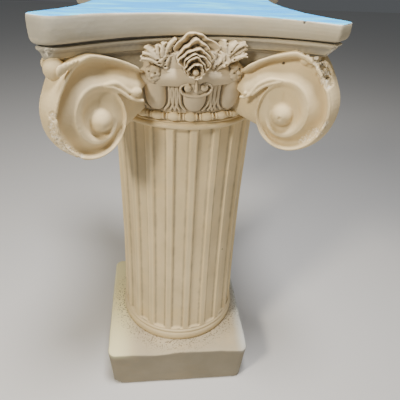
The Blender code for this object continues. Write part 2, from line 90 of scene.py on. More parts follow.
# Volutes
EYE_ALONG = 0.1300
EYE_Z = CAPITAL_Z + 0.0295
VOLUTE_RADIUS = 0.0655
TURN_RATIO = 0.54
VOLUTE_TALL = 1.16
VOLUTE_INSET = 0.0015
CHANNEL_DEPTH = 0.0130
EYE_RADIUS = 0.0160
DOME_RADIUS = 0.0160
EYE_PROUD = 0.0068
# How the eye and the bottom of the outer turn sit off the even spiral: towards the middle, down, down
OFF_OWN = (0.0045, 0.0092, 0.0020)
OFF_FACING = (0.0060, 0.0110, 0.0060)
BAND_SWELL = 0.0020
BAND_GROOVE = 0.0012
ROOT_TWO = math.sqrt(2)
SOFT_FROM = 0.22             # turn at which the channel's edge starts to soften
LIP_SINKS = 1.45             # turn at which the inner lip starts to sink into the ring round the eye
RING_DEPTH = 0.62            # depth of that ring, as a share of the channel's
CANAL_END = 0.054
CANAL_DIVE = 0.022
HORN_LEAF_OUT = 0.2335

# Drum
EGG_PLACES = (-22.6, 2.2, 26.4)   # degrees round the drum from the middle of a side
EGG_FOOT = 0.0160
EGG_TOP = 0.0500
DRUM_RADIUS = 0.1235
DRUM_FLARE = 0.0080
BEAD_COUNT = 32
BEAD_RING_RADIUS = 0.1228
BEAD_RADIUS = 0.0066
BEAD_RING_RISE = 0.0080
BEAD_STRETCH = 1.42
REEL_RADIUS = 0.0052
REEL_WIDTH = 0.0021
REEL_SPACING = 0.0145
BEAD_ROOM = 0.0115
ARC_MM = 0.135 * math.pi / 180   # metres along the drum for one degree
BEAD_BED_RADIUS = 0.1195
BEAD_BED_TOP = 0.0140
DRUM_HEAD_RADIUS = 0.1120
DRUM_EDGE_RADIUS = 0.1200
ROSE_SEAT_RADIUS = 0.1265
ROSE_SEAT_INSET = 0.0105

# How large the cast's slow waves, its ripples and its grain are
WAVE_SIZE = 0.045
RIPPLE_SIZE = 0.018
GRAIN_SIZE = 0.0035


# Shaping helpers
def rumple(points, size, seed):
    """Smooth noise between -1 and 1 at each point, with lumps about this size across."""
    cell = points / size + seed * 7.31
    low = np.floor(cell).astype(np.int64)
    part = cell - low
    fade = part * part * (3 - 2 * part)
    total = np.zeros(len(points))
    for corner in range(8):
        step = np.array([corner & 1, corner >> 1 & 1, corner >> 2 & 1])
        key = (low[:, 0] + step[0]) * 73856093 ^ (low[:, 1] + step[1]) * 19349663
        key = key ^ (low[:, 2] + step[2]) * 83492791 ^ seed * 26544357
        key = (key ^ (key >> 15)) * 2246822519 & 0xFFFFFFFF
        key = (key ^ (key >> 13)) * 3266489917 & 0xFFFFFFFF
        value = (key & 0xFFFF) / 32767.5 - 1
        weight = np.prod(np.where(step == 1, fade, 1 - fade), axis=1)
        total += weight * value
    return total


def ease(value, low, high):
    """0 below low, 1 above high, smooth between."""
    share = np.clip((value - low) / (high - low), 0.0, 1.0)
    return share * share * (3 - 2 * share)


def new_object(name, points, faces):
    mesh = bpy.data.meshes.new(name)
    mesh.from_pydata([tuple(p) for p in points], [], faces)
    return placed(name, mesh)


def placed(name, data):
    obj = bpy.data.objects.new(name, data)
    bpy.context.scene.collection.objects.link(obj)
    return obj


def lay(rows, wrap=False):
    """Points and faces over rows of points; where each row is a ring, a fan closes both ends."""
    count, across = rows.shape[:2]
    i, j = np.meshgrid(np.arange(count - 1), np.arange(across if wrap else across - 1), indexing="ij")
    k = (j + 1) % across
    faces = np.stack([i * across + j, i * across + k, (i + 1) * across + k, (i + 1) * across + j], -1)
    points, faces = [rows.reshape(-1, 3)], faces.reshape(-1, 4).tolist()
    for end, row in enumerate((0, count - 1) if wrap else ()):
        points.append(rows[row].mean(axis=0)[None, :])
        start, tip = row * across, count * across + end
        faces += [(start + j, start + (j + 1) % across, tip) for j in range(across)]
    return np.concatenate(points), faces


def skin(name, rows, middle=None):
    """A closed surface over rings of points, or over a patch whose rim a fan joins to a middle."""
    points, faces = lay(rows, middle is None)
    if middle is not None:
        count, across = rows.shape[:2]
        rim = list(range(across)) + [i * across + across - 1 for i in range(1, count)]
        rim += [(count - 1) * across + j for j in range(across - 2, -1, -1)]
        rim += [i * across for i in range(count - 2, 0, -1)]
        faces += [(a, b, len(points)) for a, b in zip(rim, rim[1:] + rim[:1])]
        points = np.concatenate([points, [middle]])
    obj = new_object(name, points, faces)
    mend(obj, 0.000001)
    return obj


def mend(obj, join=0.0, close=False, turn=True):
    """Join doubled points, close open ends and turn the faces outward."""
    bm = bmesh.new()
    bm.from_mesh(obj.data)
    if join:
        bmesh.ops.remove_doubles(bm, verts=bm.verts, dist=join)
    if close:
        bmesh.ops.holes_fill(bm, edges=[e for e in bm.edges if e.is_boundary], sides=0)
    if turn:
        bmesh.ops.recalc_face_normals(bm, faces=bm.faces)
    bm.to_mesh(obj.data)
    bm.free()


def surface(obj):
    """Where each point lies, and which way it faces."""
    found = []
    for field in ("co", "normal"):
        values = np.zeros(len(obj.data.vertices) * 3)
        obj.data.vertices.foreach_get(field, values)
        found.append(values.reshape(-1, 3))
    return found


def move_to(obj, points):
    obj.data.vertices.foreach_set("co", points.reshape(-1))
    obj.data.update()


def weather(obj, seed, wave=0.0004, grain=0.00010):
    """The slow unevenness of a hand-finished cast, and a fine grain over it."""
    points, out = surface(obj)
    push = wave * rumple(points, WAVE_SIZE, seed) + wave * 0.5 * rumple(points, RIPPLE_SIZE, seed + 1)
    push += grain * rumple(points, GRAIN_SIZE, seed + 2)
    move_to(obj, points + out * push[:, None])


def marks(obj, name):
    """The values of a point attribute, zero where there is none yet."""
    values = np.zeros(len(obj.data.vertices))
    layer = obj.data.attributes.get(name)
    if layer:
        layer.data.foreach_get("value", values)
    return values


def mark(obj, name, values):
    layer = obj.data.attributes.get(name) or obj.data.attributes.new(name, "FLOAT", "POINT")
    layer.data.foreach_set("value", values)


def whiten(obj, share):
    """Remember where the surface is whitened: where it is broken, for fresh plaster, and along the slab's top
    arris, for a painted highlight.
    """
    mark(obj, "broken", np.maximum(marks(obj, "broken"), share))


def dent(obj, centre, radius, depth, dark=0.0):
    """A small round hole, as a trapped bubble leaves; dark paints its inside black, a painted shade."""
    points, out = surface(obj)
    away = np.linalg.norm(points - np.array(centre), axis=1) / radius
    move_to(obj, points - out * (depth * (1 - ease(away, 0.35, 1.0)))[:, None])
    mark(obj, "hole", np.maximum(marks(obj, "hole"), dark * (1 - ease(away, 0.5, 1.0))))


def chip(obj, centre, reach, depth, seed, size=0.0035):
    """Break plaster away around a point, leaving a rough face."""
    points, out = surface(obj)
    away = np.linalg.norm((points - np.array(centre)) / np.array(reach), axis=1)
    share = 1 - ease(away + 0.28 * rumple(points, size * 2.2, seed), 0.75, 1.0)
    bite = depth * (0.72 + 0.28 * rumple(points, size, seed + 3))
    bite += depth * 0.25 * rumple(points, size * 0.5, seed + 4)
    move_to(obj, points - out * (share * bite)[:, None])
    whiten(obj, share * ease(rumple(points, size * 0.45, seed + 6), 0.0, 0.5))


def settle(points):
    """Tilt what hangs under the slab, as in the solids."""
    below_top = np.minimum(1.0, (TOP_Z - points[:, 2]) / SLAB_THICKNESS)
    above_joint = (points[:, 2] - CAPITAL_Z - EGG_FOOT) / (EGG_TOP - EGG_FOOT)
    outside = (np.hypot(points[:, 0], points[:, 1]) - DRUM_RADIUS - 0.012) / 0.025
    share = below_top * np.clip(np.maximum(above_joint, outside), 0.0, 1.0)
    settled = points.copy()
    settled[:, 2] += TILT * points[:, 0] * share
    return settled


def quarter(points, turns):
    """Points modelled at the front, turned to another side."""
    angle = turns * math.pi / 2
    turned = points.copy()
    turned[:, 0] = points[:, 0] * math.cos(angle) - points[:, 1] * math.sin(angle)
    turned[:, 1] = points[:, 0] * math.sin(angle) + points[:, 1] * math.cos(angle)
    return turned


def plain_mesh(obj, name):
    """The evaluated result of an object's modifiers, as a new object at the origin."""
    mesh = bpy.data.meshes.new_from_object(obj.evaluated_get(bpy.context.evaluated_depsgraph_get()))
    mesh.name = name
    made = placed(name, mesh)
    bpy.data.objects.remove(obj, do_unlink=True)
    return made


def shade_hollows(obj, reach=12, scale=0.0006, shaded_below=None):
    """Remember how far each point lies below or above its surroundings, for painted shade in the hollows and
    painted highlight on the ridges.
    """
    points, out = surface(obj)
    ends = np.zeros(len(obj.data.edges) * 2, dtype=np.int64)
    obj.data.edges.foreach_get("vertices", ends)
    a, b, size = ends[::2], ends[1::2], len(points)
    count = np.maximum(1, np.bincount(a, minlength=size) + np.bincount(b, minlength=size))
    mean = points.copy()
    for _ in range(reach):
        total = [np.bincount(a, mean[b, axis], size) + np.bincount(b, mean[a, axis], size) for axis in range(3)]
        mean = 0.5 * mean + 0.5 * np.stack(total, -1) / count[:, None]
    below = np.einsum("ij,ij->i", mean - points, out) / scale
    # Painted shade under the slab's lip, heavier towards the right
    if shaded_below:
        under = ease(-points[:, 2], -shaded_below, -shaded_below + 0.004)
        below += under * (0.38 + 0.28 * ease(points[:, 0], -0.10, 0.12))
    below *= 1 - 0.7 * marks(obj, "broken")
    mark(obj, "hollow", np.clip(below, -1.0, 1.0))


def smooth_shade(obj, angle=50):
    obj.data.shade_smooth()
    obj.data.set_sharp_from_angle(angle=math.radians(angle))


# Node trees
class Socket:
    """A node's output that sums can be made with."""

    def __init__(self, nodes, socket):
        self.nodes, self.socket = nodes, socket

    def __add__(self, other):
        return self.nodes.math("ADD", self, other)

    def __sub__(self, other):
        return self.nodes.math("SUBTRACT", self, other)

    def __rsub__(self, other):
        return self.nodes.math("SUBTRACT", other, self)

    def __mul__(self, other):
        return self.nodes.math("MULTIPLY", self, other)

    def __truediv__(self, other):
        return self.nodes.math("DIVIDE", self, other)

    def __rtruediv__(self, other):
        return self.nodes.math("DIVIDE", other, self)


class Nodes:
    """A node tree, with short ways to add to it."""

    def __init__(self, tree):
        self.tree = tree

    def feed(self, into, value):
        if isinstance(value, Socket):
            self.tree.links.new(value.socket, into)
        elif value is not None:
            into.default_value = value

    def add(self, kind, inputs=(), out=0, **settings):
        """A node with these settings and inputs; one of its outputs is given back."""
        node = self.tree.nodes.new(kind)
        for key, value in settings.items():
            setattr(node, key, value)
        for key, value in dict(inputs).items():
            self.feed(node.inputs[key], value)
        return Socket(self, node.outputs[out])

    def math(self, operation, a, b=None):
        return self.add("ShaderNodeMath", enumerate((a, b)), operation=operation)

    def parts(self, vector):
        """The x, y and z of a vector."""
        node = self.tree.nodes.new("ShaderNodeSeparateXYZ")
        self.feed(node.inputs[0], vector)
        return [Socket(self, out) for out in node.outputs]

    def vector(self, x, y, z):
        return self.add("ShaderNodeCombineXYZ", enumerate((x, y, z)))


class Shape(Nodes):
    """A geometry tree with named inputs, each with its own value."""

    def __init__(self, name):
        super().__init__(bpy.data.node_groups.new(name, "GeometryNodeTree"))
        self.tree.interface.new_socket("Geometry", in_out="OUTPUT", socket_type="NodeSocketGeometry")
        self.start = self.tree.nodes.new("NodeGroupInput")
        self.values = {}

    def size(self, name, value, kind="NodeSocketFloat"):
        socket = self.tree.interface.new_socket(name, in_out="INPUT", socket_type=kind)
        self.values[socket.identifier] = value
        return Socket(self, self.start.outputs[name])

    def place(self):
        return self.parts(self.add("GeometryNodeInputPosition"))

    def round_axis(self, angle, radius, rise):
        return self.vector(self.math("COSINE", angle) * radius, self.math("SINE", angle) * radius, rise)

    def make(self, name, geometry, material):
        """End the tree, run it on an empty mesh and keep the result as a plain mesh."""
        real = self.add("GeometryNodeRealizeInstances", {0: geometry})
        painted = self.add("GeometryNodeSetMaterial", {"Geometry": real, "Material": material})
        self.feed(self.tree.nodes.new("NodeGroupOutput").inputs[0], painted)
        obj = new_object(name + "_tree", [], [])
        modifier = obj.modifiers.new("shape", "NODES")
        modifier.node_group = self.tree
        for identifier, value in self.values.items():
            modifier[identifier] = value
        return plain_mesh(obj, name)


# Materials
FRESH_PLASTER_AND_HIGHLIGHT = (0.96, 0.90, 0.76)
BLACK = (0.05, 0.04, 0.03)
CREAM = (0.76, 0.61, 0.355)
SHADE = (0.64, 0.51, 0.29)
# Sky blue of the slab's flat top, and its paler streaks
BLUE_TOP_COLOURS = ((0.02, 0.42, 1.0), (0.12, 0.70, 1.0))


def tint(colour, *shares):
    return tuple(min(1.0, part * share) for part, share in zip(colour, shares))


def cast_plaster(name, light, dark, streaks=None, blue_top=None, pits=0.0, sweep=False, pinhole=None):
    """Painted cast plaster: mottled cream, fine grain, pits, and streaks where a brush ran."""
    material = bpy.data.materials.new(name)
    material.use_nodes = True
    nodes = Nodes(material.node_tree)
    place = nodes.add("ShaderNodeTexCoord", out="Object")
    x, y, z = nodes.parts(place)

    def cloud(scale, detail, rough=0.55, stretch=None):
        spot = nodes.add("ShaderNodeMapping", {"Vector": place, "Scale": stretch}) if stretch else place
        sizes = {"Vector": spot, "Scale": scale, "Detail": detail, "Roughness": rough}
        return nodes.add("ShaderNodeTexNoise", sizes, "Fac")

    def window(value, low, high, to_low=0.0, to_high=1.0):
        return nodes.add("ShaderNodeMapRange", enumerate((value, low, high, to_low, to_high)),
                         interpolation_type="SMOOTHSTEP")

    def blend(share, under, over, kind="MIX"):
        under, over = ((*part, 1.0) if isinstance(part, tuple) else part for part in (under, over))
        return nodes.add("ShaderNodeMix", {0: share, 6: under, 7: over}, 2, data_type="RGBA", blend_type=kind)

    def marked(attribute):
        return nodes.add("ShaderNodeAttribute", out="Fac", attribute_name=attribute)

    def bump(distance, strength, height, under=None, **settings):
        sizes = {"Distance": distance, "Strength": strength, "Height": height, "Normal": under}
        return nodes.add("ShaderNodeBump", sizes, **settings)

    def facing_up():
        return nodes.parts(nodes.add("ShaderNodeNewGeometry", out="Normal"))[2]

    def vectors(operation, a, b=None, out="Value"):
        return nodes.add("ShaderNodeVectorMath", enumerate((a, b)), out, operation=operation)

    colour = blend(window(cloud(9.0, 4.0), 0.35, 0.68), light, dark)
    colour = blend(window(cloud(23.0, 3.0), 0.50, 0.72) * 0.45, colour, tint(light, 1.02, 0.96, 0.84))
    if streaks:
        scale, stretch, strength = streaks
        drawn = window(cloud(scale, 3.0, 0.6, stretch), 0.42, 0.70)
        colour = blend(drawn * strength, colour, tint(light, 0.86, 0.88, 0.92))
    if sweep:
        # Painted light and shade across the slab: darker and cooler to the left, warmer and brighter to the
        # right
        slab_light_sweep = blend(window(x, -0.22, 0.20), (0.80, 0.83, 0.86), (1.0, 0.98, 0.90))
        colour = blend(1.0, colour, slab_light_sweep, "MULTIPLY")
    # Painted shade in the hollows and painted highlight on the ridges, from the hollow marks
    colour = blend(window(marked("hollow"), 0.12, 0.95) * 0.72, colour, tint(dark, 0.42, 0.44, 0.52))
    colour = blend(window(marked("hollow"), -0.10, -0.80) * 0.30, colour, tint(light, 1.22, 1.20, 1.12))
    # Fresh plaster where broken, and the painted highlight along the slab's top arris
    colour = blend(marked("broken") * 0.75, colour, FRESH_PLASTER_AND_HIGHLIGHT)
    # Painted shade: holes painted black inside
    colour = blend(marked("hole"), colour, BLACK)
    # Painted shade: a black spot for a pinhole, with no hole cut
    if pinhole:
        colour = blend(window(vectors("DISTANCE", place, pinhole), 0.0019, 0.0011), colour, BLACK)
    colour = blend(window(cloud(420.0, 2.0), 0.66, 0.74) * 0.25, colour, tint(dark, 0.6, 0.6, 0.6))
    relief = bump(0.0006, 0.35, cloud(260.0, 4.0, 0.65))
    if pits:
        on_top = window(z, PLINTH_HEIGHT - 0.02, PLINTH_HEIGHT - 0.001)
        from_axis = vectors("LENGTH", vectors("MULTIPLY", place, (1, 1, 0), "Vector"))
        hole = window(cloud(330.0, 1.0, 0.4), 0.58, 0.66) * (on_top * window(from_axis, 0.165, 0.130))
        # Painted light on the plinth's top: paler and cooler at the right, brighter and yellower at the left
        colour = blend(window(x, 0.112, 0.140) * on_top, colour, (0.74, 0.76, 0.72))
        colour = blend(window(x, -0.085, -0.140) * on_top, colour, (0.98, 0.90, 0.52))
        # Painted shade in the pits: darkened inside
        colour = blend(hole * pits, colour, tint(dark, 0.42, 0.38, 0.34))
        # Painted shade: the plinth's sides darker than its top
        colour = blend(window(facing_up(), 0.75, 0.35), colour, (0.48, 0.49, 0.51), "MULTIPLY")
        relief = bump(0.0012, 0.8, hole, relief, invert=True)
    # The flat top of the slab is coloured sky blue, streaked paler
    if blue_top:
        flat = window(facing_up(), 0.80, 0.97) * window(z, TOP_Z - 0.003, TOP_Z - 0.001)
        ripple = window(cloud(14.0, 5.0, 0.62, (1.0, 3.5, 1.0)), 0.40, 0.66)
        colour = blend(flat, colour, blend(ripple, *blue_top))
    shader = nodes.tree.nodes["Principled BSDF"]
    nodes.feed(shader.inputs["Base Color"], colour)
    nodes.feed(shader.inputs["Roughness"], window(cloud(38.0, 3.0), 0.3, 0.7, 0.71, 0.85))
    nodes.feed(shader.inputs["Normal"], relief)
    return material


# The slab's plaster is darker and greyer than the carved plaster: painted shade for the weaker, cooler light on
# its faces
SHADED_SLAB_PLASTER = cast_plaster("slab_plaster_painted_shade", (0.52, 0.465, 0.355), (0.44, 0.395, 0.30),
                            streaks=(30.0, (0.35, 0.35, 3.0), 0.5), blue_top=BLUE_TOP_COLOURS, sweep=True)
CARVED_PLASTER = cast_plaster("carved_plaster", CREAM, SHADE)
# A darker copy of the carved plaster: painted shade, for the drum lying in the slab's shade
SHADED_DRUM_PLASTER = cast_plaster("drum_plaster_painted_shade", (0.60, 0.495, 0.325), (0.50, 0.41, 0.265))
# The shaft's pinhole is a black spot of painted shade
SHAFT_PLASTER = cast_plaster("shaft_plaster", CREAM, SHADE, streaks=(26.0, (1.6, 1.6, 0.10), 0.45),
                             pinhole=(0.0754, -0.0868, 0.3226))
PLINTH_PLASTER = cast_plaster("plinth_plaster", (0.62, 0.52, 0.34), (0.52, 0.44, 0.29),
                              streaks=(30.0, (0.6, 0.6, 4.0), 0.35), pits=0.75)


# Slab
# From the bed under the mouldings to the slab's top: (inset from the face, height)
SLAB_PROFILE = (
    (0.0300, -0.0740), (0.0205, -0.0735), (0.0190, -0.0500), (0.0160, -0.0462), (0.0160, -0.0452),
    (0.0128, -0.0440), (0.0112, -0.0405), (0.0098, -0.0365), (0.0078, -0.0338), (0.0062, -0.0328),
    (0.0058, -0.0304), (0.0080, -0.0296), (0.0110, -0.0288), (0.0106, -0.0272), (0.0062, -0.0266),
    (0.0036, -0.0256), (0.0018, -0.0240), (0.0005, -0.0212), (-0.0002, -0.0170), (-0.0005, -0.0120),
    (-0.0004, -0.0065), (0.0001, -0.0026), (0.0010, -0.0008), (0.0032, 0.0))
SLAB_STEPS = 176             # points along each side


def divide(corners, length):
    """Points along a profile, about this far apart."""
    points = []
    for (a, b), (c, d) in zip(corners, corners[1:]):
        pieces = max(1, round(math.hypot(c - a, d - b) / length))
        points += [(a + (c - a) * i / pieces, b + (d - b) * i / pieces) for i in range(pieces)]
    return points + [corners[-1]]


def slab_ring(inset, level, short=0.0):
    """The slab's outline at a level, drawn in by the inset, and at the horns cut short."""
    radius = SIDE_RADIUS + inset
    cut = (HORN_START + HORN_REACH) / ROOT_TWO - inset * 0.8 - short
    end = math.pi / 4 + math.asin((ROOT_TWO * cut + SIDE_CENTRE) / (ROOT_TWO * radius))
    half_cut = -(radius * math.sin(end) + SIDE_CENTRE + radius * math.cos(end)) / ROOT_TWO
    ring = []
    for i in range(SLAB_STEPS):
        angle = end * (2 * i / SLAB_STEPS - 1)
        ring.append((radius * math.sin(angle), SIDE_CENTRE + radius * math.cos(angle), level))
    for i in range(SLAB_STEPS // 8):
        across = half_cut * (2 * i / (SLAB_STEPS // 8) - 1)
        ring.append(((cut + across) / ROOT_TWO, (across - cut) / ROOT_TWO, level))
    return np.concatenate([quarter(np.array(ring), side) for side in range(4)])


def soften(rings, strength, rounds):
    """Even out each ring along itself, by this share at each point."""
    for _ in range(rounds):
        between = (np.roll(rings, 1, axis=1) + np.roll(rings, -1, axis=1)) / 2
        rings = rings + 0.5 * strength[None, :, None] * (between - rings)
    return rings


def wear_corners(rings):
    """Round the upright edges of each horn; the front left one is worn most."""
    across = rings.shape[1]
    middle = across - SLAB_STEPS // 16
    rings = soften(rings, np.full(across, 0.5), 26)
    strength = np.zeros(across)
    strength[np.arange(middle - 24, middle + 25) % across] = 1.0
    worn = soften(rings, strength, 90)
    loss = np.linalg.norm(rings[:, middle, :2], axis=1) - np.linalg.norm(worn[:, middle, :2], axis=1)
    place = (np.arange(across) - middle + across // 2) % across - across // 2
    swell = 0.80 * (1 - ease(np.abs(place), 0, 34))
    rings = worn + (loss[:, None] * swell)[..., None] * np.array([-1.0, -1.0, 0.0]) / ROOT_TWO
    nose = np.exp(-((rings[..., 1] + 0.168) / 0.020) ** 2) * ease(-rings[..., 0], 0.135, 0.185)
    rings[..., 0] = np.maximum(rings[..., 0] - 0.0095 * nose, -0.1950)
    return rings


def break_moulding(slab):
    """The moulding's end under the front right horn is broken back."""
    points, _ = surface(slab)
    limit = 0.2340 + 0.0090 * ease(points[:, 2], MOULDING_Z + 0.002, SLAB_LIP_Z)
    limit += 0.0012 * rumple(points, 0.006, 61) + 0.0005 * rumple(points, 0.0025, 62)
    low = 1 - ease(points[:, 2], SLAB_LIP_Z, SLAB_LIP_Z + 0.0023)
    beyond = np.maximum(0.0, (points[:, 0] - points[:, 1]) / ROOT_TWO - limit) * low
    points = points + beyond[:, None] * np.array([-1.0, 1.0, 0.0]) / ROOT_TWO
    move_to(slab, points)
    whiten(slab, ease(beyond, 0.0005, 0.0030) * ease(rumple(points, 0.0020, 66), -0.2, 0.5))


def build_slab():
    rings = [slab_ring(inset, TOP_Z + rise, 0.045 * float(ease(-rise, 0.0462, 0.0475)))
             for inset, rise in divide(SLAB_PROFILE, 0.0013)]
    edge = slab_ring(0.0050, TOP_Z)
    rings += [edge * (share, share, 1) for share in (0.97, 0.93, 0.86, 0.75, 0.6, 0.42, 0.22, 0.08)]
    slab = skin("top_slab", wear_corners(np.array(rings)))
    move_to(slab, settle(surface(slab)[0]))
    weather(slab, 11, wave=0.0006)
    points, out = surface(slab)
    face = (points[:, 2] > TOP_Z - 0.026) & (np.abs(out[:, 2]) < 0.5)
    hand = np.where(face, 0.0008 * rumple(points * np.array([1, 1, 0.4]), 0.07, 5), 0.0)
    move_to(slab, points + out * hand[:, None])
    chip(slab, (-0.176, -0.185, 0.700), (0.012, 0.012, 0.010), 0.0012, 21)
    break_moulding(slab)
    chip(slab, (0.190, -0.166, 0.716), (0.008, 0.010, 0.006), 0.0016, 25)
    chip(slab, (0.186, -0.186, 0.722), (0.006, 0.006, 0.012), 0.0008, 27)
    # A pinhole on the top, painted black inside as painted shade
    dent(slab, (0.1287, -0.1666, 0.7375), 0.0022, 0.0008, 1.0)
    move_to(slab, np.clip(surface(slab)[0], cad_box[0], (cad_box[1][0], cad_box[1][1], TOP_Z)))
    points, out = surface(slab)
    # Painted highlight: a pale line along the slab's top arris, marked with the broken plaster
    rim = ease(points[:, 2], TOP_Z - 0.0030, TOP_Z - 0.0008) * (1 - ease(np.abs(out[:, 2]), 0.90, 0.995))
    whiten(slab, 0.8 * rim * ease(rumple(points, 0.02, 8), -0.6, 0.3))
    slab.data.materials.append(SHADED_SLAB_PLASTER)
    smooth_shade(slab)
    return slab


# Volutes
# From the axis towards the front right horn, across it, and up
OUT = np.array([1, -1, 0]) / ROOT_TWO
SIDE = np.array([1, 1, 0]) / ROOT_TWO
UP = np.array([0, 0, 1])


def wall(along, height, depth):
    """Points on the concave wall of the front side, or in front of it where the depth is below zero."""
    radius = SIDE_RADIUS + VOLUTE_INSET
    angle = along / radius
    reach = radius + depth
    return np.stack([reach * np.sin(angle), SIDE_CENTRE + reach * np.cos(angle), height], -1)


def spiral_place(turn, off=OFF_OWN):
    """A place on a scroll's lip after so many turns from the top."""
    angle = turn * 2 * math.pi
    radius = max(VOLUTE_RADIUS * TURN_RATIO ** turn, EYE_RADIUS)
    radius *= 1 - 0.07 * math.exp(-((turn - 0.13) / 0.07) ** 2)
    drift = 0.0035 * max(0.0, 1 - turn / 2) - off[0] * float(ease(turn, 1.0, 2.0))
    sag = off[1] * float(ease(turn, 0.6, 1.6)) + (off[2] * math.sin(math.pi * turn) ** 2 if turn < 1 else 0.0)
    return EYE_ALONG + drift + radius * math.sin(angle), EYE_Z - sag + VOLUTE_TALL * radius * math.cos(angle)


# Depth of the channel across a turn, as shares of CHANNEL_DEPTH
OUTER_CHANNEL = ((0, 0), (0.05, -0.06), (0.12, -0.02), (0.155, 0.12), (0.18, 0.58), (0.215, 0.95), (0.29, 1.12),
                 (0.42, 1.02), (0.60, 0.74), (0.77, 0.44), (0.87, 0.24), (0.93, 0.16), (0.965, 0.0), (1.0, 0.0))
SOFT_CHANNEL = ((0, 0), (0.05, -0.05), (0.12, -0.02), (0.18, 0.12), (0.25, 0.36), (0.34, 0.62), (0.44, 0.74),
                (0.58, 0.70), (0.70, 0.54), (0.80, 0.36), (0.88, 0.20), (0.94, 0.08), (1.0, 0.0))
INNER_CHANNEL = ((0, 0), (0.03, -0.03), (0.07, 0.06), (0.20, 0.0), (0.34, 0.04), (0.48, 0.16), (0.58, 0.36),
                 (0.68, 0.56), (0.78, 0.62), (0.90, 0.62), (1.0, 0.62))


def channel(share, turn):
    """Depth of the channel across a turn; the inner turn has a broad lip and a narrow hollow."""
    crisp = np.interp(share, *zip(*OUTER_CHANNEL))
    soft = ease(turn, SOFT_FROM, SOFT_FROM + 0.28)
    outer = crisp * (1 - soft) + np.interp(share, *zip(*SOFT_CHANNEL)) * soft
    outer = outer + RING_DEPTH * ease(turn + 1, LIP_SINKS, 2.0) * ease(share, 0.6, 1.0)
    sink = ease(turn, LIP_SINKS, 2.0)
    inner = np.interp(share, *zip(*INNER_CHANNEL)) * (1 - sink) + RING_DEPTH * sink
    blend = ease(turn, 0.70, 1.30)
    return CHANNEL_DEPTH * (outer * (1 - blend) + inner * blend)


# Edges of the canal between a scroll and the drum: millimetres along the wall, and up
CANAL_TOP = ((54, 665.0), (66, 671.0), (73, 678.5), (86, 685.5), (101, 691.5), (119, 696.5), (130, 699.1))
CANAL_FOOT_OWN = ((54, 646.0), (62, 641.0), (72, 639.0), (79, 642.0), (84, 648.0), (88, 654.0), (97, 660.0),
                  (106, 663.5), (121, 664.0), (130, 664.1))
CANAL_FOOT_FACING = ((54, 650.0), (67, 648.5), (76, 648.5), (84, 650.5), (94, 657.0), (104, 662.0),
                     (115, 663.5), (130, 664.1))


def scroll_grid(columns, across, canal, foot, off):
    """Places on the wall for the canal, then two turns of the scroll."""
    share = np.linspace(0, 1, across)
    along, height, depth = [], [], []
    for c in range(canal):
        run = 1 - c / canal
        here = EYE_ALONG + (CANAL_END - EYE_ALONG) * run
        high = np.interp(here * 1000, *zip(*CANAL_TOP)) / 1000
        low = np.interp(here * 1000, *zip(*foot)) / 1000
        low = low - off[1] * float(ease(1.0, 0.6, 1.6)) * (1 - run) ** 0.5
        along.append(np.full(across, here))
        height.append(high + (low - high) * share)
        belly = 0.0045 * float(ease(run, 0.1, 0.6)) * np.sin(math.pi * np.clip((share - 0.35) / 0.65, 0, 1))
        depth.append(CANAL_DIVE * float(ease(run, 0.74, 1.0)) + channel(share, 0.0) * (1 - 0.25 * run) - belly)
    for j in range(2 * columns + 1):
        turn = j / columns
        a = spiral_place(turn, off)
        b = spiral_place(turn + 1, off)
        along.append(a[0] + (b[0] - a[0]) * share)
        height.append(a[1] + (b[1] - a[1]) * share)
        depth.append(channel(share, turn))
    return np.array(along), np.array(height), np.array(depth)


def scroll_face(columns, across, canal, foot, off):
    """The carved face of one scroll: canal and turns, the domed eye, and the seam between them."""
    along, height, depth = scroll_grid(columns, across, canal, foot, off)
    face = wall(along, height, depth)
    rim_along, rim_height, rim_depth = (part[-columns - 1:, -1] for part in (along, height, depth))
    middle, level = EYE_ALONG - off[0], EYE_Z - off[1]
    dome = []
    for r in np.linspace(1.0, 0.02, 22):
        place = middle + (rim_along - middle) * r, level + (rim_height - level) * r
        from_eye = np.hypot(place[0] - middle, (place[1] - level) / 1.06) / DOME_RADIUS
        swell = np.maximum(0.0, 1 - from_eye ** 2) ** 0.85
        dome.append(wall(place[0], place[1], rim_depth + (-EYE_PROUD - rim_depth) * swell))
    dome = np.array(dome)
    seam = np.concatenate([face[-1], dome[1:, -1]])
    steps = np.linspace(seam[0, 2], seam[-1, 2], 60)
    strip = [np.stack([np.interp(steps, line[::-1, 2], line[::-1, axis]) for axis in range(3)], -1)
             for line in (seam, dome[:, 0])]
    tip = wall(middle, level, -EYE_PROUD)
    cap = np.array([dome[-1], np.repeat(tip[None, :], len(dome[-1]), axis=0)])
    return face, [face, dome, np.stack(strip), cap]


def mirrored(points):
    """The same points on the other wall of the front right horn."""
    return np.stack([-points[..., 1], -points[..., 0], points[..., 2]], -1)


def rim_of(face, canal, columns):
    """The outer edge of a carved face, all the way round."""
    path = [face[i, 0] for i in range(canal + columns + 1)]
    path += [face[i, -1] for i in range(canal - 1, -1, -1)]
    path += [face[0, k] for k in range(face.shape[1] - 2, 0, -1)]
    return np.array(path + [path[0]])


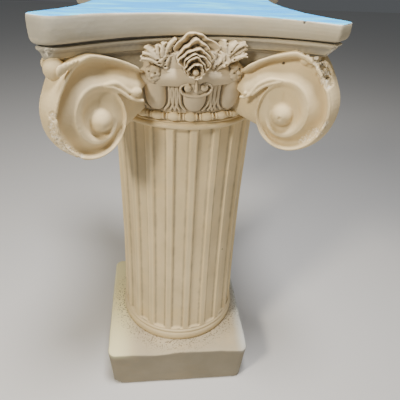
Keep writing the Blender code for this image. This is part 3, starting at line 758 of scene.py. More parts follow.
def scroll_soup(columns=72, across=34, canal=30):
    """The two carved faces at the front right horn and the band between their rims."""
    face, grids = scroll_face(columns, across, canal, CANAL_FOOT_OWN, OFF_OWN)
    other, facing = scroll_face(columns, across, canal, CANAL_FOOT_FACING, OFF_FACING)
    grids += [mirrored(grid) for grid in facing]
    path = rim_of(face, canal, columns)
    back = mirrored(rim_of(other, canal, columns))
    centre = OUT * (EYE_ALONG * 1.56) + UP * EYE_Z
    lift = (path + back) / 2 - centre
    lift /= np.linalg.norm(lift, axis=1)[:, None]
    place = np.arange(len(path))
    outer = canal + columns + 1
    on_band = ease(place, canal * 0.4, canal * 0.9) * (1 - ease(place, outer - 14, outer))
    strips = []
    near = [0.0, 0.03, 0.06, 0.09, 0.12]
    for w in np.concatenate([near, np.linspace(0.16, 0.84, 16), [0.88, 0.91, 0.94, 0.97, 1.0]]):
        swell = BAND_SWELL * math.sin(math.pi * w)
        swell -= BAND_GROOVE * (math.exp(-((w - 0.09) / 0.025) ** 2) + math.exp(-((w - 0.91) / 0.025) ** 2))
        strips.append(path + (back - path) * w + lift * (swell * on_band)[:, None])
    return grids + [np.array(strips)]


def bolster_rings():
    """The plain body behind a pair of scrolls, running back into the drum."""
    stations = ((0.095, 0.030, 0.0065), (0.115, 0.030, 0.0055), (0.130, 0.031, 0.0035), (0.146, 0.035, 0.0),
                (0.162, 0.037, -0.004), (0.180, 0.031, -0.010), (0.195, 0.022, -0.014))
    rings = []
    for reach, half, low in stations:
        bottom, top = CAPITAL_Z + low, CAPITAL_Z + 0.085
        ring = []
        for turn in np.linspace(0, 2 * math.pi, 40, endpoint=False):
            c, s = math.cos(turn), math.sin(turn)
            across = math.copysign(abs(c) ** 0.45, c) * half
            rise = (math.copysign(abs(s) ** 0.45, s) + 1) / 2
            ring.append(OUT * reach + SIDE * across + UP * (bottom + (top - bottom) * rise))
        rings.append(ring)
    return np.array(rings)


def ball(centre, radii, turn=0.0, steps=16):
    """Rows of points over an ellipsoid, turned about the vertical."""
    rows = []
    for i in range(1, steps):
        fall = math.pi * i / steps
        ring = []
        for j in range(2 * steps):
            angle = math.pi * j / steps
            x = radii[0] * math.sin(fall) * math.cos(angle)
            y = radii[1] * math.sin(fall) * math.sin(angle)
            ring.append((centre[0] + x * math.cos(turn) - y * math.sin(turn),
                         centre[1] + x * math.sin(turn) + y * math.cos(turn),
                         centre[2] + radii[2] * math.cos(fall)))
        rows.append(ring)
    return np.array(rows)


def horn_leaf_rows():
    """The leaf curled over under a horn: a round tip, and ribs that fade along each wall."""
    tip = OUT * (HORN_LEAF_OUT + 0.0080) + UP * (MOULDING_Z - 0.0105)
    lobes = [ball(tip, (0.0124, 0.0136, 0.0138), math.pi / 4)]
    for step in range(5):
        along = 0.1740 - 0.0056 * step
        fade = 1 - 0.13 * step
        rise = MOULDING_Z - 0.0085 * fade + 0.0005 * step
        spot = wall(along, rise, -0.0040 * fade + 0.0020)
        lobe = ball(spot, (0.0032 * (0.6 + 0.4 * fade), 0.0055 * fade, (0.0068 + 0.0008 * (step % 2)) * fade),
                    along / SIDE_RADIUS)
        lobe[..., 0] -= (0.20 + 0.05 * step) * (lobe[..., 2] - spot[2])
        lobes += [mirrored(lobe)] if step == 0 else [lobe, mirrored(lobe)]
    return lobes


# The two folded stems between a canal and its scroll, on each wall of a horn: millimetres along it, and up
STEMS_OWN = (((121.3, 662.2), (106.3, 661.7), (96.7, 657.8), (88.3, 652.0), (84.0, 645.4), (78.7, 638.2),
              (71.7, 635.0), (66.3, 636.3)),
             ((120.6, 660.0), (107.0, 656.6), (95.6, 651.0), (88.2, 644.4), (82.3, 638.4)))
STEMS_FACING = (((118.0, 660.6), (104.3, 660.5), (97.4, 657.2), (89.5, 650.5), (82.5, 645.5)),
                ((118.0, 658.6), (108.7, 656.2), (100.7, 651.6), (92.9, 645.6), (84.9, 638.9), (74.5, 634.5),
                 (66.1, 632.5)))
# What is left of the broken horn leaf: distance from the axis, sideways, below the moulding, radius
STUMPS = ((0.2170, -0.003, 0.0100, 0.0090), (0.2140, 0.009, 0.0080, 0.0070), (0.2130, -0.012, 0.0070, 0.0065))
STEM_RADII_OWN = (0.0027, 0.0029)
STEM_RADII_FACING = (0.0033, 0.0034)
STEM_BEAD_RADIUS = 0.0026
BUD_RADII = (0.0082, 0.0062, 0.0062)
VOXEL = 0.00105
COARSE_VOXEL = 0.00130


def stem_rows(stem, thick):
    """A folded stem as a tube that swells quickly and thins slowly."""
    path = np.array(bend(stem, 4)) / 1000
    run = np.linspace(0, 1, len(path))
    radii = thick * (1 - 0.3 * run) * np.minimum(1, 0.35 + run * 5)
    return tube_rows(wall(path[:, 0], path[:, 1], -0.0002), radii)


def tube_rows(path, radius):
    rows = []
    for i, point in enumerate(path):
        ahead = path[min(i + 1, len(path) - 1)] - path[max(i - 1, 0)]
        ahead /= np.linalg.norm(ahead)
        side = np.cross(ahead, [0, 0, 1.0])
        side /= np.linalg.norm(side)
        up = np.cross(side, ahead)
        size = radius[i]
        rows.append([point + size * (math.cos(a) * side + math.sin(a) * up)
                     for a in np.linspace(0, 2 * math.pi, 10, endpoint=False)])
    return np.array(rows)


def corner_rows(leaf):
    """The closed pieces of a corner: bolster, leaf or its stumps, stems, bead and bud."""
    rows = [bolster_rings()] + (horn_leaf_rows() if leaf else [])
    rows += [stem_rows(stem, thick) for stem, thick in zip(STEMS_OWN, STEM_RADII_OWN)]
    rows.append(ball(wall(0.0731, 0.6409, -0.001), [STEM_BEAD_RADIUS] * 3))
    rows += [mirrored(stem_rows(stem, thick)) for stem, thick in zip(STEMS_FACING, STEM_RADII_FACING)]
    rows.append(mirrored(ball(wall(0.0757, 0.6455, 0.001), BUD_RADII, -0.2)))
    if not leaf:
        for reach, side, drop, size in STUMPS:
            stump = np.array([reach + side, side - reach, 0]) / ROOT_TWO + UP * (MOULDING_Z - drop)
            rows.append(ball(stump, (size, size * 1.1, size)))
    return rows


def build_corner(name, turns, leaf=True, fine=True):
    """One horn's scrolls, band, bolster and leaf, fused into one smooth cast surface."""
    points, faces, base = [], [], 0
    for closed, parts in ((False, scroll_soup()), (True, corner_rows(leaf))):
        for rows in parts:
            made, sides = lay(rows, closed)
            points.append(made)
            faces += [[base + point for point in side] for side in sides]
            base += len(made)
    source = new_object(name + "_soup", settle(quarter(np.concatenate(points), turns)), faces)
    mend(source, 0.00002, turn=False)
    voxels = source.modifiers.new("voxels", "REMESH")
    voxels.mode = "VOXEL"
    voxels.voxel_size = VOXEL if fine else COARSE_VOXEL
    even = source.modifiers.new("even", "SMOOTH")
    even.factor = 0.5
    even.iterations = 2
    if not fine:
        source.modifiers.new("thin", "DECIMATE").ratio = 0.6
    corner = plain_mesh(source, name)
    weather(corner, 31 + turns)
    corner.data.materials.clear()
    corner.data.materials.append(CARVED_PLASTER)
    smooth_shade(corner, 70)
    return corner


# Drum carving
def stroke(relief, a, z, path, width, proud, flat=2.0, lift=0.0):
    """Raise a rounded ridge along a path given in metres; width and proud may taper."""
    run = np.linspace(0, 1, len(path))
    widths, prouds = (np.interp(run, np.linspace(0, 1, np.size(size)), np.atleast_1d(size))
                      for size in (width, proud))
    if len(path) == 1:
        path, widths, prouds = path * 2, np.repeat(widths, 2), np.repeat(prouds, 2)
    for (a0, z0), (a1, z1), w0, w1, p0, p1 in zip(path, path[1:], widths, widths[1:], prouds, prouds[1:]):
        long = (a1 - a0) ** 2 + (z1 - z0) ** 2
        t = np.clip(((a - a0) * (a1 - a0) + (z - z0) * (z1 - z0)) / max(long, 1e-12), 0, 1)
        away = np.hypot(a - a0 - t * (a1 - a0), z - z0 - t * (z1 - z0)) / (w0 + (w1 - w0) * t)
        rise = lift + (p0 + (p1 - p0) * t) * (1 - np.minimum(away, 1.0) ** flat) ** (1 / flat)
        np.maximum(relief, np.where(away < 1.0, rise, -1.0), out=relief)


def bend(points, steps=5):
    """A smooth path through the given points."""
    knots = np.array([points[0]] + list(points) + [points[-1]], float)
    made = []
    for p0, p1, p2, p3 in zip(knots, knots[1:], knots[2:], knots[3:]):
        for t in np.linspace(0, 1, steps, endpoint=False):
            made.append(tuple(0.5 * (2 * p1 + (p2 - p0) * t + (2 * p0 - 5 * p1 + 4 * p2 - p3) * t * t
                                     + (3 * p1 - p0 - 3 * p2 + p3) * t ** 3)))
    return made + [tuple(knots[-2])]


def place(degrees, mm):
    """A point on the drum from degrees round it and millimetres above the joint."""
    return degrees * ARC_MM, mm / 1000


def carve_eggs(relief, a, z):
    for index, c in enumerate(EGG_PLACES):
        x = (a / ARC_MM - c) / (7.4 if index == 1 else 6.9)
        down = np.clip((0.041 - z) / 0.0245, 0, 1)
        up = np.clip((z - 0.041) / (0.016 if index == 1 else 0.050), 0, 1)
        body = 1 - np.abs(x) ** 2.2 - down ** 2.4 - up ** 3
        proud = 0.0100 if index == 1 else 0.0120
        np.maximum(relief, np.where(body > 0, proud * np.sqrt(np.maximum(body, 0)), -1), out=relief)
        for hand in (-1, 1):
            for start, low, end in ((9.0, 8.4, 5.6), (11.5, 11.2, 9.4), (14.0, 13.6, 12.2)):
                rib = [place(c + hand * d, m) for d, m in (
                    (start, 56.0), (start + 0.4, 46.0), (start + 0.2, 36.0), (low, 27.0), (end, 18.5))]
                stroke(relief, a, z, bend(rib), (0.0027, 0.0026, 0.0020), (0.0064, 0.0060, 0.0040))
        if index != 1:
            continue
        collar = [place(c + d, m) for d, m in (
            (-8.6, 51), (-7.6, 47.0), (-4.6, 44.0), (0, 42.6), (4.6, 44.0), (7.6, 47.0), (8.6, 51))]
        stroke(relief, a, z, bend(collar), 0.0021, 0.0026, lift=0.0092)
        stroke(relief, a, z, [place(c, 50.5)], 0.0150, 0.0098, flat=2.6)
        for hand in (-1, 1):
            stroke(relief, a, z, [place(c + hand * 4.7, 54.6)], 0.0050, 0.0046, lift=0.0100)
            stem = [place(c + hand * d, m) for d, m in ((4.6, 60.0), (7.6, 58.4), (8.9, 54.0), (8.6, 50.0))]
            stroke(relief, a, z, bend(stem), (0.0017, 0.0014), 0.0026, lift=0.0095)
        stroke(relief, a, z, [place(c, 67.0), place(c, 50.5)], (0.0006, 0.0026), (0.0034, 0.0048), lift=0.0098)


def carve_swag(relief, a, z):
    """The smooth roll over the eggs, lower in the middle of each side."""
    low, high = 0.0545, 0.0800
    x = np.clip((z - low) / (high - low), 0, 1)
    roll = 0.0140 * np.clip(np.sin(math.pi * np.clip(0.16 + 0.66 * x, 0, 1)), 0, 1) ** 0.8
    edge = ease(z, low - 0.0004, low + 0.0020)
    middle = 1 - 0.30 * np.exp(-((a / ARC_MM - EGG_PLACES[1]) / 7.5) ** 4) * (1 - x)
    np.maximum(relief, np.where(z > low, roll * edge * middle, -1), out=relief)


def carve_flowers(relief, a, z):
    for c, spin in ((-22.0, 0.3), (25.0, 1.0)):
        for petal in range(6):
            angle = petal * 2 * math.pi / 6 + spin
            wide = 5.6 + 1.2 * math.sin(petal * 2.3 + spin)
            spot = place(c + 2.3 * math.cos(angle), 73.0 + 6.6 * math.sin(angle))
            edge = place(c + 3.3 * math.cos(angle + 0.3), 73.0 + 9.6 * math.sin(angle + 0.3))
            stroke(relief, a, z, [spot, edge], (wide / 1000, 0.0030), (0.0058, 0.0040), flat=2.4, lift=0.0120)
        stroke(relief, a, z, [place(c + 0.5, 72.0)], 0.0034, 0.0040, lift=0.0165)
        for nick in range(3):
            angle = nick * 2.2 + spin
            pit = place(c + 2.0 * math.cos(angle), 73.0 + 5.0 * math.sin(angle))
            away = np.hypot(a - pit[0], z - pit[1]) / 0.0020
            relief -= 0.0035 * (1 - ease(away, 0.3, 1.0))


# Rose petals from the cup outward: half width, bottom and top in mm, how far each stands out, pointedness,
# and shift sideways in mm
ROSE_PETALS = ((9.6, 70.5, 90.0, 0.0290, 2.0, 0.0), (13.6, 71.5, 97.5, 0.0262, 1.7, -0.8),
               (16.6, 74.0, 102.0, 0.0240, 1.6, 0.8), (20.6, 76.0, 108.0, 0.0212, 1.5, -0.3),
               (25.0, 80.0, 116.5, 0.0165, 1.4, 0.5), (31.8, 87.0, 125.5, 0.0100, 1.35, 0.2))


def carve_rose(relief, a, z):
    """Petals in nested cups round a bead, the rose nodding forward and down."""
    centre = 0.9 * ARC_MM
    x = (a - centre) * 1000
    mm = z * 1000
    for index, (half, low, high, proud, point, shift) in enumerate(reversed(ROSE_PETALS)):
        middle = low + (high - low) * 0.42
        up = np.where(mm > middle, (mm - middle) / (high - middle), (middle - mm) / (middle - low))
        turn = np.arctan2(mm - middle, x - shift)
        frill = 1 + 0.060 * np.cos(3 * turn + index * 1.9) + 0.040 * np.sin(7 * turn + index * 2.7)
        away = ((np.abs(x - shift) / (half * frill)) ** point + (up / frill) ** point) ** (1 / point)
        rim = 0.0012 * np.exp(-((away - 0.92) / 0.05) ** 2)
        fold = 0.0010 * np.sin(11 * turn + index * 2.1)
        height = proud + rim + fold - 0.030 * np.clip(0.93 - away, 0, 0.30) - 0.003 * ease(away, 0.95, 1.0)
        np.maximum(relief, np.where(away < 1, height, -1), out=relief)
    away = np.hypot(a - centre, (z - 0.0805) / 1.05)
    hollow = 1 - ease(away, 0.0046, 0.0064)
    relief[:] = np.where(relief > 0.02, relief - 0.0052 * hollow, relief)
    stroke(relief, a, z, [(centre, 0.0784)], 0.0040, 0.0050, lift=0.0235)
    for tear in ((-7.2, 84.5, 3.2), (9.4, 86.0, 2.6), (-11.2, 96.0, 2.2), (7.6, 103.0, 1.8)):
        spot = place(*tear[:2])
        away = np.hypot((a - spot[0]) * 1.4, z - spot[1]) * 1000 / tear[2]
        relief -= 0.0045 * (1 - ease(away, 0.25, 1.0)) * (relief > 0)


# Lobes of the leaves beside the rose, each from its foot to its tip: degrees round the drum and mm up
LEAF_LOBES = (((-14.4, 80.9), (-20.0, 97.3), (-23.8, 107.8)), ((-17.5, 86.2), (-21.7, 92.7), (-25.2, 94.2)),
              ((-17.5, 90.2), (-18.7, 100.0), (-19.2, 108.2)), ((-16.0, 92.0), (-16.4, 101.7), (-16.0, 110.3)),
              ((-14.8, 96.8), (-13.3, 107.2), (-10.4, 115.8)), ((-14.8, 80.9), (-13.7, 89.8), (-12.9, 95.6)),
              ((-16.7, 86.1), (-16.4, 92.0), (-14.5, 96.7)), ((-14.4, 79.9), (-13.2, 75.7), (-11.6, 75.7)),
              ((-17.0, 89.0), (-21.6, 98.5), (-24.6, 100.5)),
              ((18.3, 95.9), (21.8, 105.8), (25.0, 110.0)), ((19.8, 93.0), (23.0, 100.0), (25.6, 104.2)),
              ((20.3, 90.0), (22.9, 94.1), (25.2, 95.9)), ((17.6, 95.9), (16.5, 105.6), (16.3, 113.2)),
              ((16.7, 86.9), (16.1, 94.8), (18.1, 103.7)), ((16.5, 82.8), (18.5, 88.9), (17.1, 98.8)),
              ((12.7, 76.7), (15.0, 81.8), (16.8, 85.9)), ((18.6, 98.8), (19.7, 106.7), (21.6, 111.5)),
              ((11.3, 80.9), (14.4, 88.8), (15.6, 98.8)))

# Teeth of each lobe: place along its path, which side, length in mm
LEAF_TEETH = ((-1, 1, 3.4), (-1, -1, 3.4), (-4, 1, 4.6), (-5, -1, 4.4), (-8, 1, 4.4), (-9, -1, 4.2))


def carve_leaves(relief, a, z):
    for index, lobe in enumerate(LEAF_LOBES):
        path = bend([place(*point) for point in lobe], 6)
        lean = 0.0016 * math.sin(index * 2.4)
        stroke(relief, a, z, path, (0.0042, 0.0046, 0.0026), 0.0030, lift=0.0080)
        stroke(relief, a, z, path, (0.0024, 0.0030, 0.0016), (0.0050, 0.0052, 0.0030), lift=0.0100 + lean)
        heading = math.atan2(path[-1][1] - path[-4][1], path[-1][0] - path[-4][0])
        for knot, hand, long in LEAF_TEETH:
            foot = path[knot - 1]
            away = heading + hand * (0.75 + 0.15 * math.sin(index * 1.7 + knot))
            long = long * (0.85 + 0.2 * math.sin(index * 3.1 + knot * 2.0)) / 1000
            tip = (foot[0] + long * math.cos(away), foot[1] + long * math.sin(away))
            stroke(relief, a, z, [foot, tip], (0.0019, 0.0013), (0.0034, 0.0022), lift=0.0098 + lean)
        root = path[2]
        away = np.hypot(a - root[0] - 0.002 * math.sin(index * 2.0), z - root[1]) / 0.0018
        relief -= 0.0040 * (1 - ease(away, 0.3, 1.0)) * (relief > 0)


def wall_reach(degrees, inset):
    """How far a side's hollow wall is from the axis in each direction."""
    angle = np.radians(degrees)
    radius = SIDE_RADIUS + inset
    return -SIDE_CENTRE * np.cos(angle) - np.sqrt(radius ** 2 - (SIDE_CENTRE * np.sin(angle)) ** 2)


def drum_patch(name, turns, columns, rows):
    """A quarter of the drum, carved as heights over its turned profile."""
    degrees = np.linspace(-46.0, 46.0, columns)
    height = np.linspace(-0.0006, 0.1285, rows)
    a, z = np.meshgrid(degrees * ARC_MM, height)
    share = np.clip((z - EGG_FOOT) / (EGG_TOP - EGG_FOOT), 0, 1)
    base = DRUM_RADIUS - 0.001 + (DRUM_FLARE - 0.002) * share
    bed = BEAD_BED_RADIUS + 0.003 * ease(z, BEAD_BED_TOP - 0.0015, BEAD_BED_TOP)
    base = np.where(z < BEAD_BED_TOP, bed, base)
    above = ease(z, 0.098, 0.108)
    base = base * (1 - above) + DRUM_HEAD_RADIUS * above
    relief = np.zeros_like(a)
    carve_eggs(relief, a, z)
    carve_swag(relief, a, z)
    carve_flowers(relief, a, z)
    flat = base + relief
    rose = np.full_like(a, -1.0)
    carve_rose(rose, a, z)
    carve_leaves(rose, a, z)
    seat = np.maximum(ROSE_SEAT_RADIUS, wall_reach(np.clip(degrees, -32, 32), ROSE_SEAT_INSET))[None, :]
    flat = np.where(rose > -0.5, np.maximum(flat, seat + rose), flat)
    fade = ease(np.abs(a / ARC_MM), 44.0, 46.0)
    radius = flat * (1 - fade) + DRUM_EDGE_RADIUS * fade
    turn = np.radians(degrees)[None, :] - math.pi / 2
    grid = np.stack([radius * np.cos(turn), radius * np.sin(turn), CAPITAL_Z + z], -1)
    inside = quarter(np.array([[0.0, -0.06, CAPITAL_Z + 0.06]]), turns)[0]
    patch = skin(name, settle(quarter(grid.reshape(-1, 3), turns)).reshape(grid.shape), inside)
    weather(patch, 51 + turns, wave=0.00025, grain=0.00008)
    patch.data.materials.append(SHADED_DRUM_PLASTER)
    smooth_shade(patch, 70)
    return patch


# Bead ring
def build_bead_ring():
    tree = Shape("bead_and_reel")
    count = tree.size("Bead Count", BEAD_COUNT, "NodeSocketInt")
    ring = tree.size("Ring Radius", BEAD_RING_RADIUS)
    rise = tree.size("Ring Height", CAPITAL_Z + BEAD_RING_RISE)
    bead = tree.size("Bead Radius", BEAD_RADIUS)
    long = tree.size("Bead Stretch", BEAD_STRETCH)
    reel = tree.size("Reel Radius", REEL_RADIUS)
    thin = tree.size("Reel Width", REEL_WIDTH)
    apart = tree.size("Reel Spacing", REEL_SPACING)

    def pearl(radius, stretch, segments, rings):
        sphere = tree.add("GeometryNodeMeshUVSphere", {"Segments": segments, "Rings": rings, "Radius": radius})
        return tree.add("GeometryNodeTransform", {"Geometry": sphere, "Scale": tree.vector(1.0, stretch, 1.0)})

    def around(shape, offset=0.0):
        circle = tree.add("GeometryNodeMeshCircle", {"Vertices": count, "Radius": ring})
        x, y, _ = tree.place()
        where = tree.round_axis(tree.math("ARCTAN2", y, x) + offset, ring, rise)
        moved = tree.add("GeometryNodeSetPosition", {"Geometry": circle, "Position": where})
        x, y, _ = tree.place()
        heading = tree.vector(0.0, 0.0, tree.math("ARCTAN2", y, x))
        spread = {"Points": moved, "Instance": shape, "Rotation": heading}
        return tree.add("GeometryNodeInstanceOnPoints", spread)

    beads = around(pearl(bead, long, 24, 14))
    disc = pearl(reel, thin / reel, 20, 10)
    half_pitch = math.pi / count
    gap = (apart - BEAD_ROOM) / ring
    gather = tree.tree.nodes.new("GeometryNodeJoinGeometry")
    for part in (beads, around(disc, half_pitch + gap), around(disc, half_pitch - gap)):
        tree.feed(gather.inputs[0], part)
    made = tree.make("bead_ring", Socket(tree, gather.outputs[0]), CARVED_PLASTER)
    smooth_shade(made, 60)
    return made


# Shaft
def build_shaft():
    tree = Shape("fluted_shaft")
    foot = tree.size("Foot Radius", SHAFT_FOOT_RADIUS)
    waist = tree.size("Waist Radius", SHAFT_WAIST_RADIUS)
    head = tree.size("Head Radius", SHAFT_HEAD_RADIUS)
    deep = tree.size("Flute Depth", FLUTE_DEPTH)
    share = tree.size("Flute Share", FLUTE_SHARE)
    count = tree.size("Flute Count", float(FLUTE_COUNT))
    turn = tree.size("Flute Turn", FLUTE_TURN)
    low = tree.size("Flutes Start", SHAFT_Z + FOOT_RING_HEIGHT + FOOT_FILLET_HEIGHT)
    high = tree.size("Flutes End", SHAFT_Z + SHAFT_HEIGHT - NECK_RING_HEIGHT)
    end = tree.size("Flute End Length", FLUTE_END)
    sheet = {"Size X": 1.0, "Size Y": 1.0, "Vertices X": 481, "Vertices Y": 120}
    grid = tree.add("GeometryNodeMeshGrid", sheet)
    x, y, _ = tree.place()
    up = y + 0.5
    up = up - tree.math("SINE", up * (2 * math.pi)) * (0.93 / (2 * math.pi))
    angle = x * (2 * math.pi)
    rise = low + up * (high - low)
    # A curve through the three radii
    rest, lower = 1.0 - up, 1.0 - up * 2.0
    radius = foot * (rest * lower) + waist * (up * 4.0 * rest) - head * (up * lower)
    # Each flute is flat across, with round ends
    pitch = (angle + math.pi / 2 - turn) * (count / (2 * math.pi))
    across = tree.math("ABSOLUTE", (tree.math("FRACT", pitch) - 0.5) * 2.0) / share
    close = tree.math("MAXIMUM", (low + end - rise) / end, (rise - (high - end)) / end)
    reach = tree.math("POWER", across, 5.0) + tree.math("POWER", tree.math("MAXIMUM", close, 0.0), 3.0)
    inside = tree.math("MAXIMUM", 1.0 - reach, 0.0)
    radius = radius - deep * tree.math("POWER", inside, 0.50)
    where = tree.round_axis(angle, radius, rise)
    moved = tree.add("GeometryNodeSetPosition", {"Geometry": grid, "Position": where})
    merged = tree.add("GeometryNodeMergeByDistance", {"Geometry": moved, "Distance": 0.00002})
    shaft = tree.make("fluted_shaft", merged, SHAFT_PLASTER)
    mend(shaft, close=True)
    weather(shaft, 71, wave=0.00045)
    smooth_shade(shaft)
    return shaft


def turned_ring(name, profile, seed, columns=420):
    """A closed turned ring from (radius, height) pairs, softened and slightly uneven."""
    dense = np.array(divide(profile, 0.0010))
    for _ in range(3):
        dense[1:-1] += 0.5 * ((dense[:-2] + dense[2:]) / 2 - dense[1:-1])
    angle = np.arange(columns) / columns * 2 * math.pi
    rows = np.stack([np.outer(dense[:, 0], np.cos(angle)), np.outer(dense[:, 0], np.sin(angle)),
                     np.repeat(dense[:, 1][:, None], columns, axis=1)], -1)
    ring = skin(name, rows)
    weather(ring, seed)
    ring.data.materials.append(SHAFT_PLASTER)
    smooth_shade(ring, 60)
    return ring


def build_foot_ring():
    z = SHAFT_Z
    top = z + FOOT_RING_HEIGHT
    return turned_ring("foot_ring", [
        (0.112, z + 0.0002), (0.1210, z + 0.0002), (0.1228, z + 0.0030), (0.1236, z + 0.0090),
        (0.1230, z + 0.0150), (0.1216, z + 0.0182), (0.1200, z + 0.0192), (0.1200, z + 0.0206),
        (0.1213, z + 0.0216), (0.1216, z + 0.0240), (0.1206, top + 0.0032), (0.1190, top + 0.0046),
        (0.1168, top + 0.0060), (0.108, top + 0.0062)], 81)


def build_neck_ring():
    z = SHAFT_Z + SHAFT_HEIGHT
    low = z - NECK_RING_HEIGHT
    return turned_ring("neck_ring", [
        (0.108, low), (0.1205, low), (0.1228, low + 0.0010), (0.1240, low + 0.0034), (0.1238, low + 0.0062),
        (0.1222, low + 0.0082), (0.1196, low + 0.0088), (0.1196, low + 0.0098), (0.1218, low + 0.0102),
        (0.1222, z - 0.0006), (0.1206, z - 0.0002), (0.108, z - 0.0002)], 83)


# Plinth
def build_plinth():
    """A block cast with rounded corners, its top arris wavy from hand filling."""
    arris = [(PLINTH_ARRIS * (1 - math.sin(t)), PLINTH_ARRIS * (1 - math.cos(t)))
             for t in np.linspace(0, math.pi / 2, 7)]
    heights = arris + [(0.0, z) for z in np.linspace(PLINTH_ARRIS, PLINTH_HEIGHT - PLINTH_ARRIS, 40)[1:-1]]
    heights += [(inset, PLINTH_HEIGHT - z) for inset, z in reversed(arris)]
    rows = [plinth_ring(PLINTH_FOOT_HALF + (PLINTH_TOP_HALF - PLINTH_FOOT_HALF) * z / PLINTH_HEIGHT - inset, z)
            for inset, z in heights]
    edge = plinth_ring(PLINTH_TOP_HALF - PLINTH_ARRIS, PLINTH_HEIGHT)
    rows += [edge * (share, share, 1) for share in (0.97, 0.94, 0.91, 0.88, 0.85, 0.82, 0.78, 0.7, 0.5, 0.2)]
    block = skin("plinth_block", np.array(rows) + (*PLINTH_SHIFT, 0))
    points, _ = surface(block)
    front = ease(-points[:, 1], 0.11, 0.15) * ease(points[:, 2], 0.06, 0.105)
    outside = ease(np.hypot(points[:, 0], points[:, 1]), 0.126, 0.140)
    wave = 0.0024 * np.sin(points[:, 0] * 34 + 0.6) + 0.0012 * np.sin(points[:, 0] * 71 + 2.0) - 0.0022
    points[:, 2] += wave * front * outside
    move_to(block, points)
    weather(block, 91, wave=0.0007, grain=0.00014)
    chip(block, (PLINTH_SHIFT[0] - 0.132, PLINTH_SHIFT[1] - 0.139, 0.004), (0.010, 0.010, 0.008), 0.0030, 93)
    points, _ = surface(block)
    points[:, 2] = np.clip(points[:, 2], 0.0, PLINTH_HEIGHT)
    move_to(block, points)
    block.data.materials.append(PLINTH_PLASTER)
    smooth_shade(block)
    return block


def plinth_ring(half, z, per_side=110):
    ring = []
    straight = 2 * (half - PLINTH_CORNER)
    for i in range(per_side):
        d = (straight + PLINTH_CORNER * math.pi / 2) * i / per_side
        turn = max(0.0, d - straight) / PLINTH_CORNER
        ring.append((min(d, straight) - half + PLINTH_CORNER * (1 + math.sin(turn)),
                     PLINTH_CORNER * (1 - math.cos(turn)) - half, z))
    return np.concatenate([quarter(np.array(ring), side) for side in range(4)])


# Chips of the front scrolls: turn along the spiral, how far in over the band or the channel, size, depth
LEFT_BAND_CHIPS = ((0.22, 0.10, 0.006), (0.25, 0.16, 0.007), (0.28, 0.24, 0.007), (0.31, 0.14, 0.008),
                   (0.33, 0.30, 0.007), (0.35, 0.18, 0.008), (0.38, 0.28, 0.007), (0.41, 0.14, 0.006),
                   (0.45, 0.22, 0.005))
RIGHT_BAND_CHIPS = ((0.01, 0.30), (0.04, 0.42), (0.07, 0.30), (0.10, 0.45), (0.13, 0.25))
RIGHT_CHANNEL_CHIPS = ((0.27, 0.0, 0.007, 0.0014), (0.31, 0.02, 0.006, 0.0012), (0.35, 0.30, 0.009, 0.0008),
                       (0.39, 0.42, 0.008, 0.0007), (0.32, 0.36, 0.007, 0.0007))


def scar_scrolls(right, left):
    """The dimples, chips and pinholes of the two scrolls that face the front."""
    def front(along, height, depth, hand, inward=0.0):
        spot = wall(along, height, depth)[None]
        return settle((spot + (mirrored(spot) - spot) * inward) * np.array([hand, 1, 1]))[0]

    along, height = EYE_ALONG - OFF_OWN[0], EYE_Z - OFF_OWN[1] - 0.0015
    dent(right, front(along, height, -EYE_PROUD, 1), 0.0034, 0.0024)
    along, height = EYE_ALONG - OFF_FACING[0] - 0.0075, EYE_Z - OFF_FACING[1] - 0.001
    dent(left, front(along, height, -0.0075, -1), 0.0028, 0.0022)
    # A pinhole, painted black inside as painted shade
    dent(right, front(0.1168, 0.6810, 0.0125, 1), 0.0025, 0.0012, 0.9)
    for turn, inward, size in LEFT_BAND_CHIPS:
        along, height = spiral_place(turn, OFF_FACING)
        chip(left, front(along, height, 0.0, -1, inward), [size * 1.3] * 3, 0.0017,
             130 + int(turn * 100), 0.0026)
    for turn, share, size, depth in RIGHT_CHANNEL_CHIPS:
        lip, within = np.array(spiral_place(turn)), np.array(spiral_place(turn + 1))
        along, height = lip + (within - lip) * share
        chip(right, front(along, height, CHANNEL_DEPTH * min(1.0, share * 3), 1), [size] * 3, depth,
             170 + int(turn * 100), 0.0026)
    for turn, inward in RIGHT_BAND_CHIPS:
        along, height = spiral_place(turn)
        chip(right, front(along, height, 0.0, 1, inward), (0.014, 0.014, 0.011), 0.0036,
             190 + int(turn * 100), 0.0042)


# Putting the pieces on the frame
slab = build_slab()
corners = [build_corner("scrolls_front_right", 0, leaf=False),
           build_corner("scrolls_back_right", 1, fine=False),
           build_corner("scrolls_back_left", 2, fine=False),
           build_corner("scrolls_front_left", 3)]
scar_scrolls(corners[0], corners[3])
drums = [drum_patch("drum_front", 0, 340, 230)]
for turns, side in enumerate(("right", "back", "left"), 1):
    drums.append(drum_patch("drum_" + side, turns, 190, 120))
bead_ring = build_bead_ring()
shaft = build_shaft()
foot_ring = build_foot_ring()
neck_ring = build_neck_ring()
plinth = build_plinth()
# Marks for painted shade in the hollows and painted highlight on the ridges of each piece
for piece in corners:
    shade_hollows(piece, scale=0.0022)
for piece in drums:
    shade_hollows(piece)
shade_hollows(slab, reach=8, scale=0.0005, shaded_below=SLAB_LIP_Z + 0.001)
for piece in (shaft, foot_ring, neck_ring):
    shade_hollows(piece, reach=8, scale=0.00075)

for piece in [slab, bead_ring] + corners + drums:
    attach(piece, "root")
    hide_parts("capital")
for piece in (shaft, foot_ring, neck_ring):
    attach(piece, "root")
    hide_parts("shaft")
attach(plinth, "root")
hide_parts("plinth")


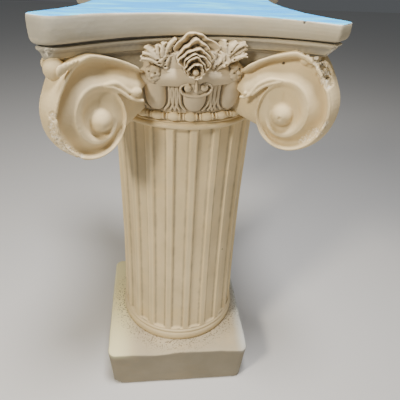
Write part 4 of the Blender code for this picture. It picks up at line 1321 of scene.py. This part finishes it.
# Floor, lights and camera
def build_stage():
    corners = [(x, y, -0.0005) for x, y in ((-6, -6), (6, -6), (6, 6), (-6, 6))]
    floor = new_object("floor", corners, [(0, 1, 2, 3)])
    paper = bpy.data.materials.new("pale_floor")
    paper.use_nodes = True
    paper.node_tree.nodes["Principled BSDF"].inputs["Base Color"].default_value = (0.80, 0.79, 0.77, 1)
    paper.node_tree.nodes["Principled BSDF"].inputs["Roughness"].default_value = 0.9
    floor.data.materials.append(paper)
    world = bpy.data.worlds.new("soft_room")
    world.use_nodes = True
    world.node_tree.nodes["Background"].inputs["Color"].default_value = (0.90, 0.95, 1.0, 1)
    world.node_tree.nodes["Background"].inputs["Strength"].default_value = 0.10
    bpy.context.scene.world = world


def softbox(name, location, aim, size, power, colour):
    data = bpy.data.lights.new(name, "AREA")
    data.shape = "DISK"
    data.size = size
    data.energy = power
    data.color = colour
    lamp = placed(name, data)
    lamp.location = location
    lamp.rotation_euler = (Vector(aim) - Vector(location)).to_track_quat("-Z", "Y").to_euler()


# Each light's name, place, what it is aimed at, width, power and colour
LIGHTS = (("key", (-0.95, -0.90, 1.45), (0, 0, 0.45), 0.30, 21, (1.0, 0.91, 0.76)),
          ("fill", (1.1, -1.2, 0.6), (0, 0, 0.45), 0.9, 4, (1.0, 0.90, 0.76)),
          ("top", (0.05, -0.34, 1.80), (0, 0, 0.6), 0.40, 27, (0.97, 0.96, 0.97)))
CAMERA_PLACE = (-0.05626, -0.67413, 0.81316)
CAMERA_YAW = 0.1206
CAMERA_PITCH = -0.5865
CAMERA_ROLL = 0.0496
CAMERA_LENS = 36.0
CAMERA_SENSOR = 36.0
CAMERA_SHIFT = (0.0179, 0.0186)


def build_camera():
    data = bpy.data.cameras.new("camera")
    data.lens = CAMERA_LENS
    data.sensor_width = CAMERA_SENSOR
    data.shift_x, data.shift_y = CAMERA_SHIFT
    data.clip_start = 0.02
    camera = placed("camera", data)
    forward = Vector((math.sin(CAMERA_YAW) * math.cos(CAMERA_PITCH),
                      math.cos(CAMERA_YAW) * math.cos(CAMERA_PITCH), math.sin(CAMERA_PITCH)))
    right = Vector((math.cos(CAMERA_YAW), -math.sin(CAMERA_YAW), 0))
    up = right.cross(forward)
    side = right * math.cos(CAMERA_ROLL) + up * math.sin(CAMERA_ROLL)
    top = up * math.cos(CAMERA_ROLL) - right * math.sin(CAMERA_ROLL)
    camera.matrix_world = Matrix((
        (side.x, top.x, -forward.x, CAMERA_PLACE[0]),
        (side.y, top.y, -forward.y, CAMERA_PLACE[1]),
        (side.z, top.z, -forward.z, CAMERA_PLACE[2]),
        (0, 0, 0, 1)))
    bpy.context.scene.camera = camera


build_stage()
for light in LIGHTS:
    softbox(*light)
build_camera()
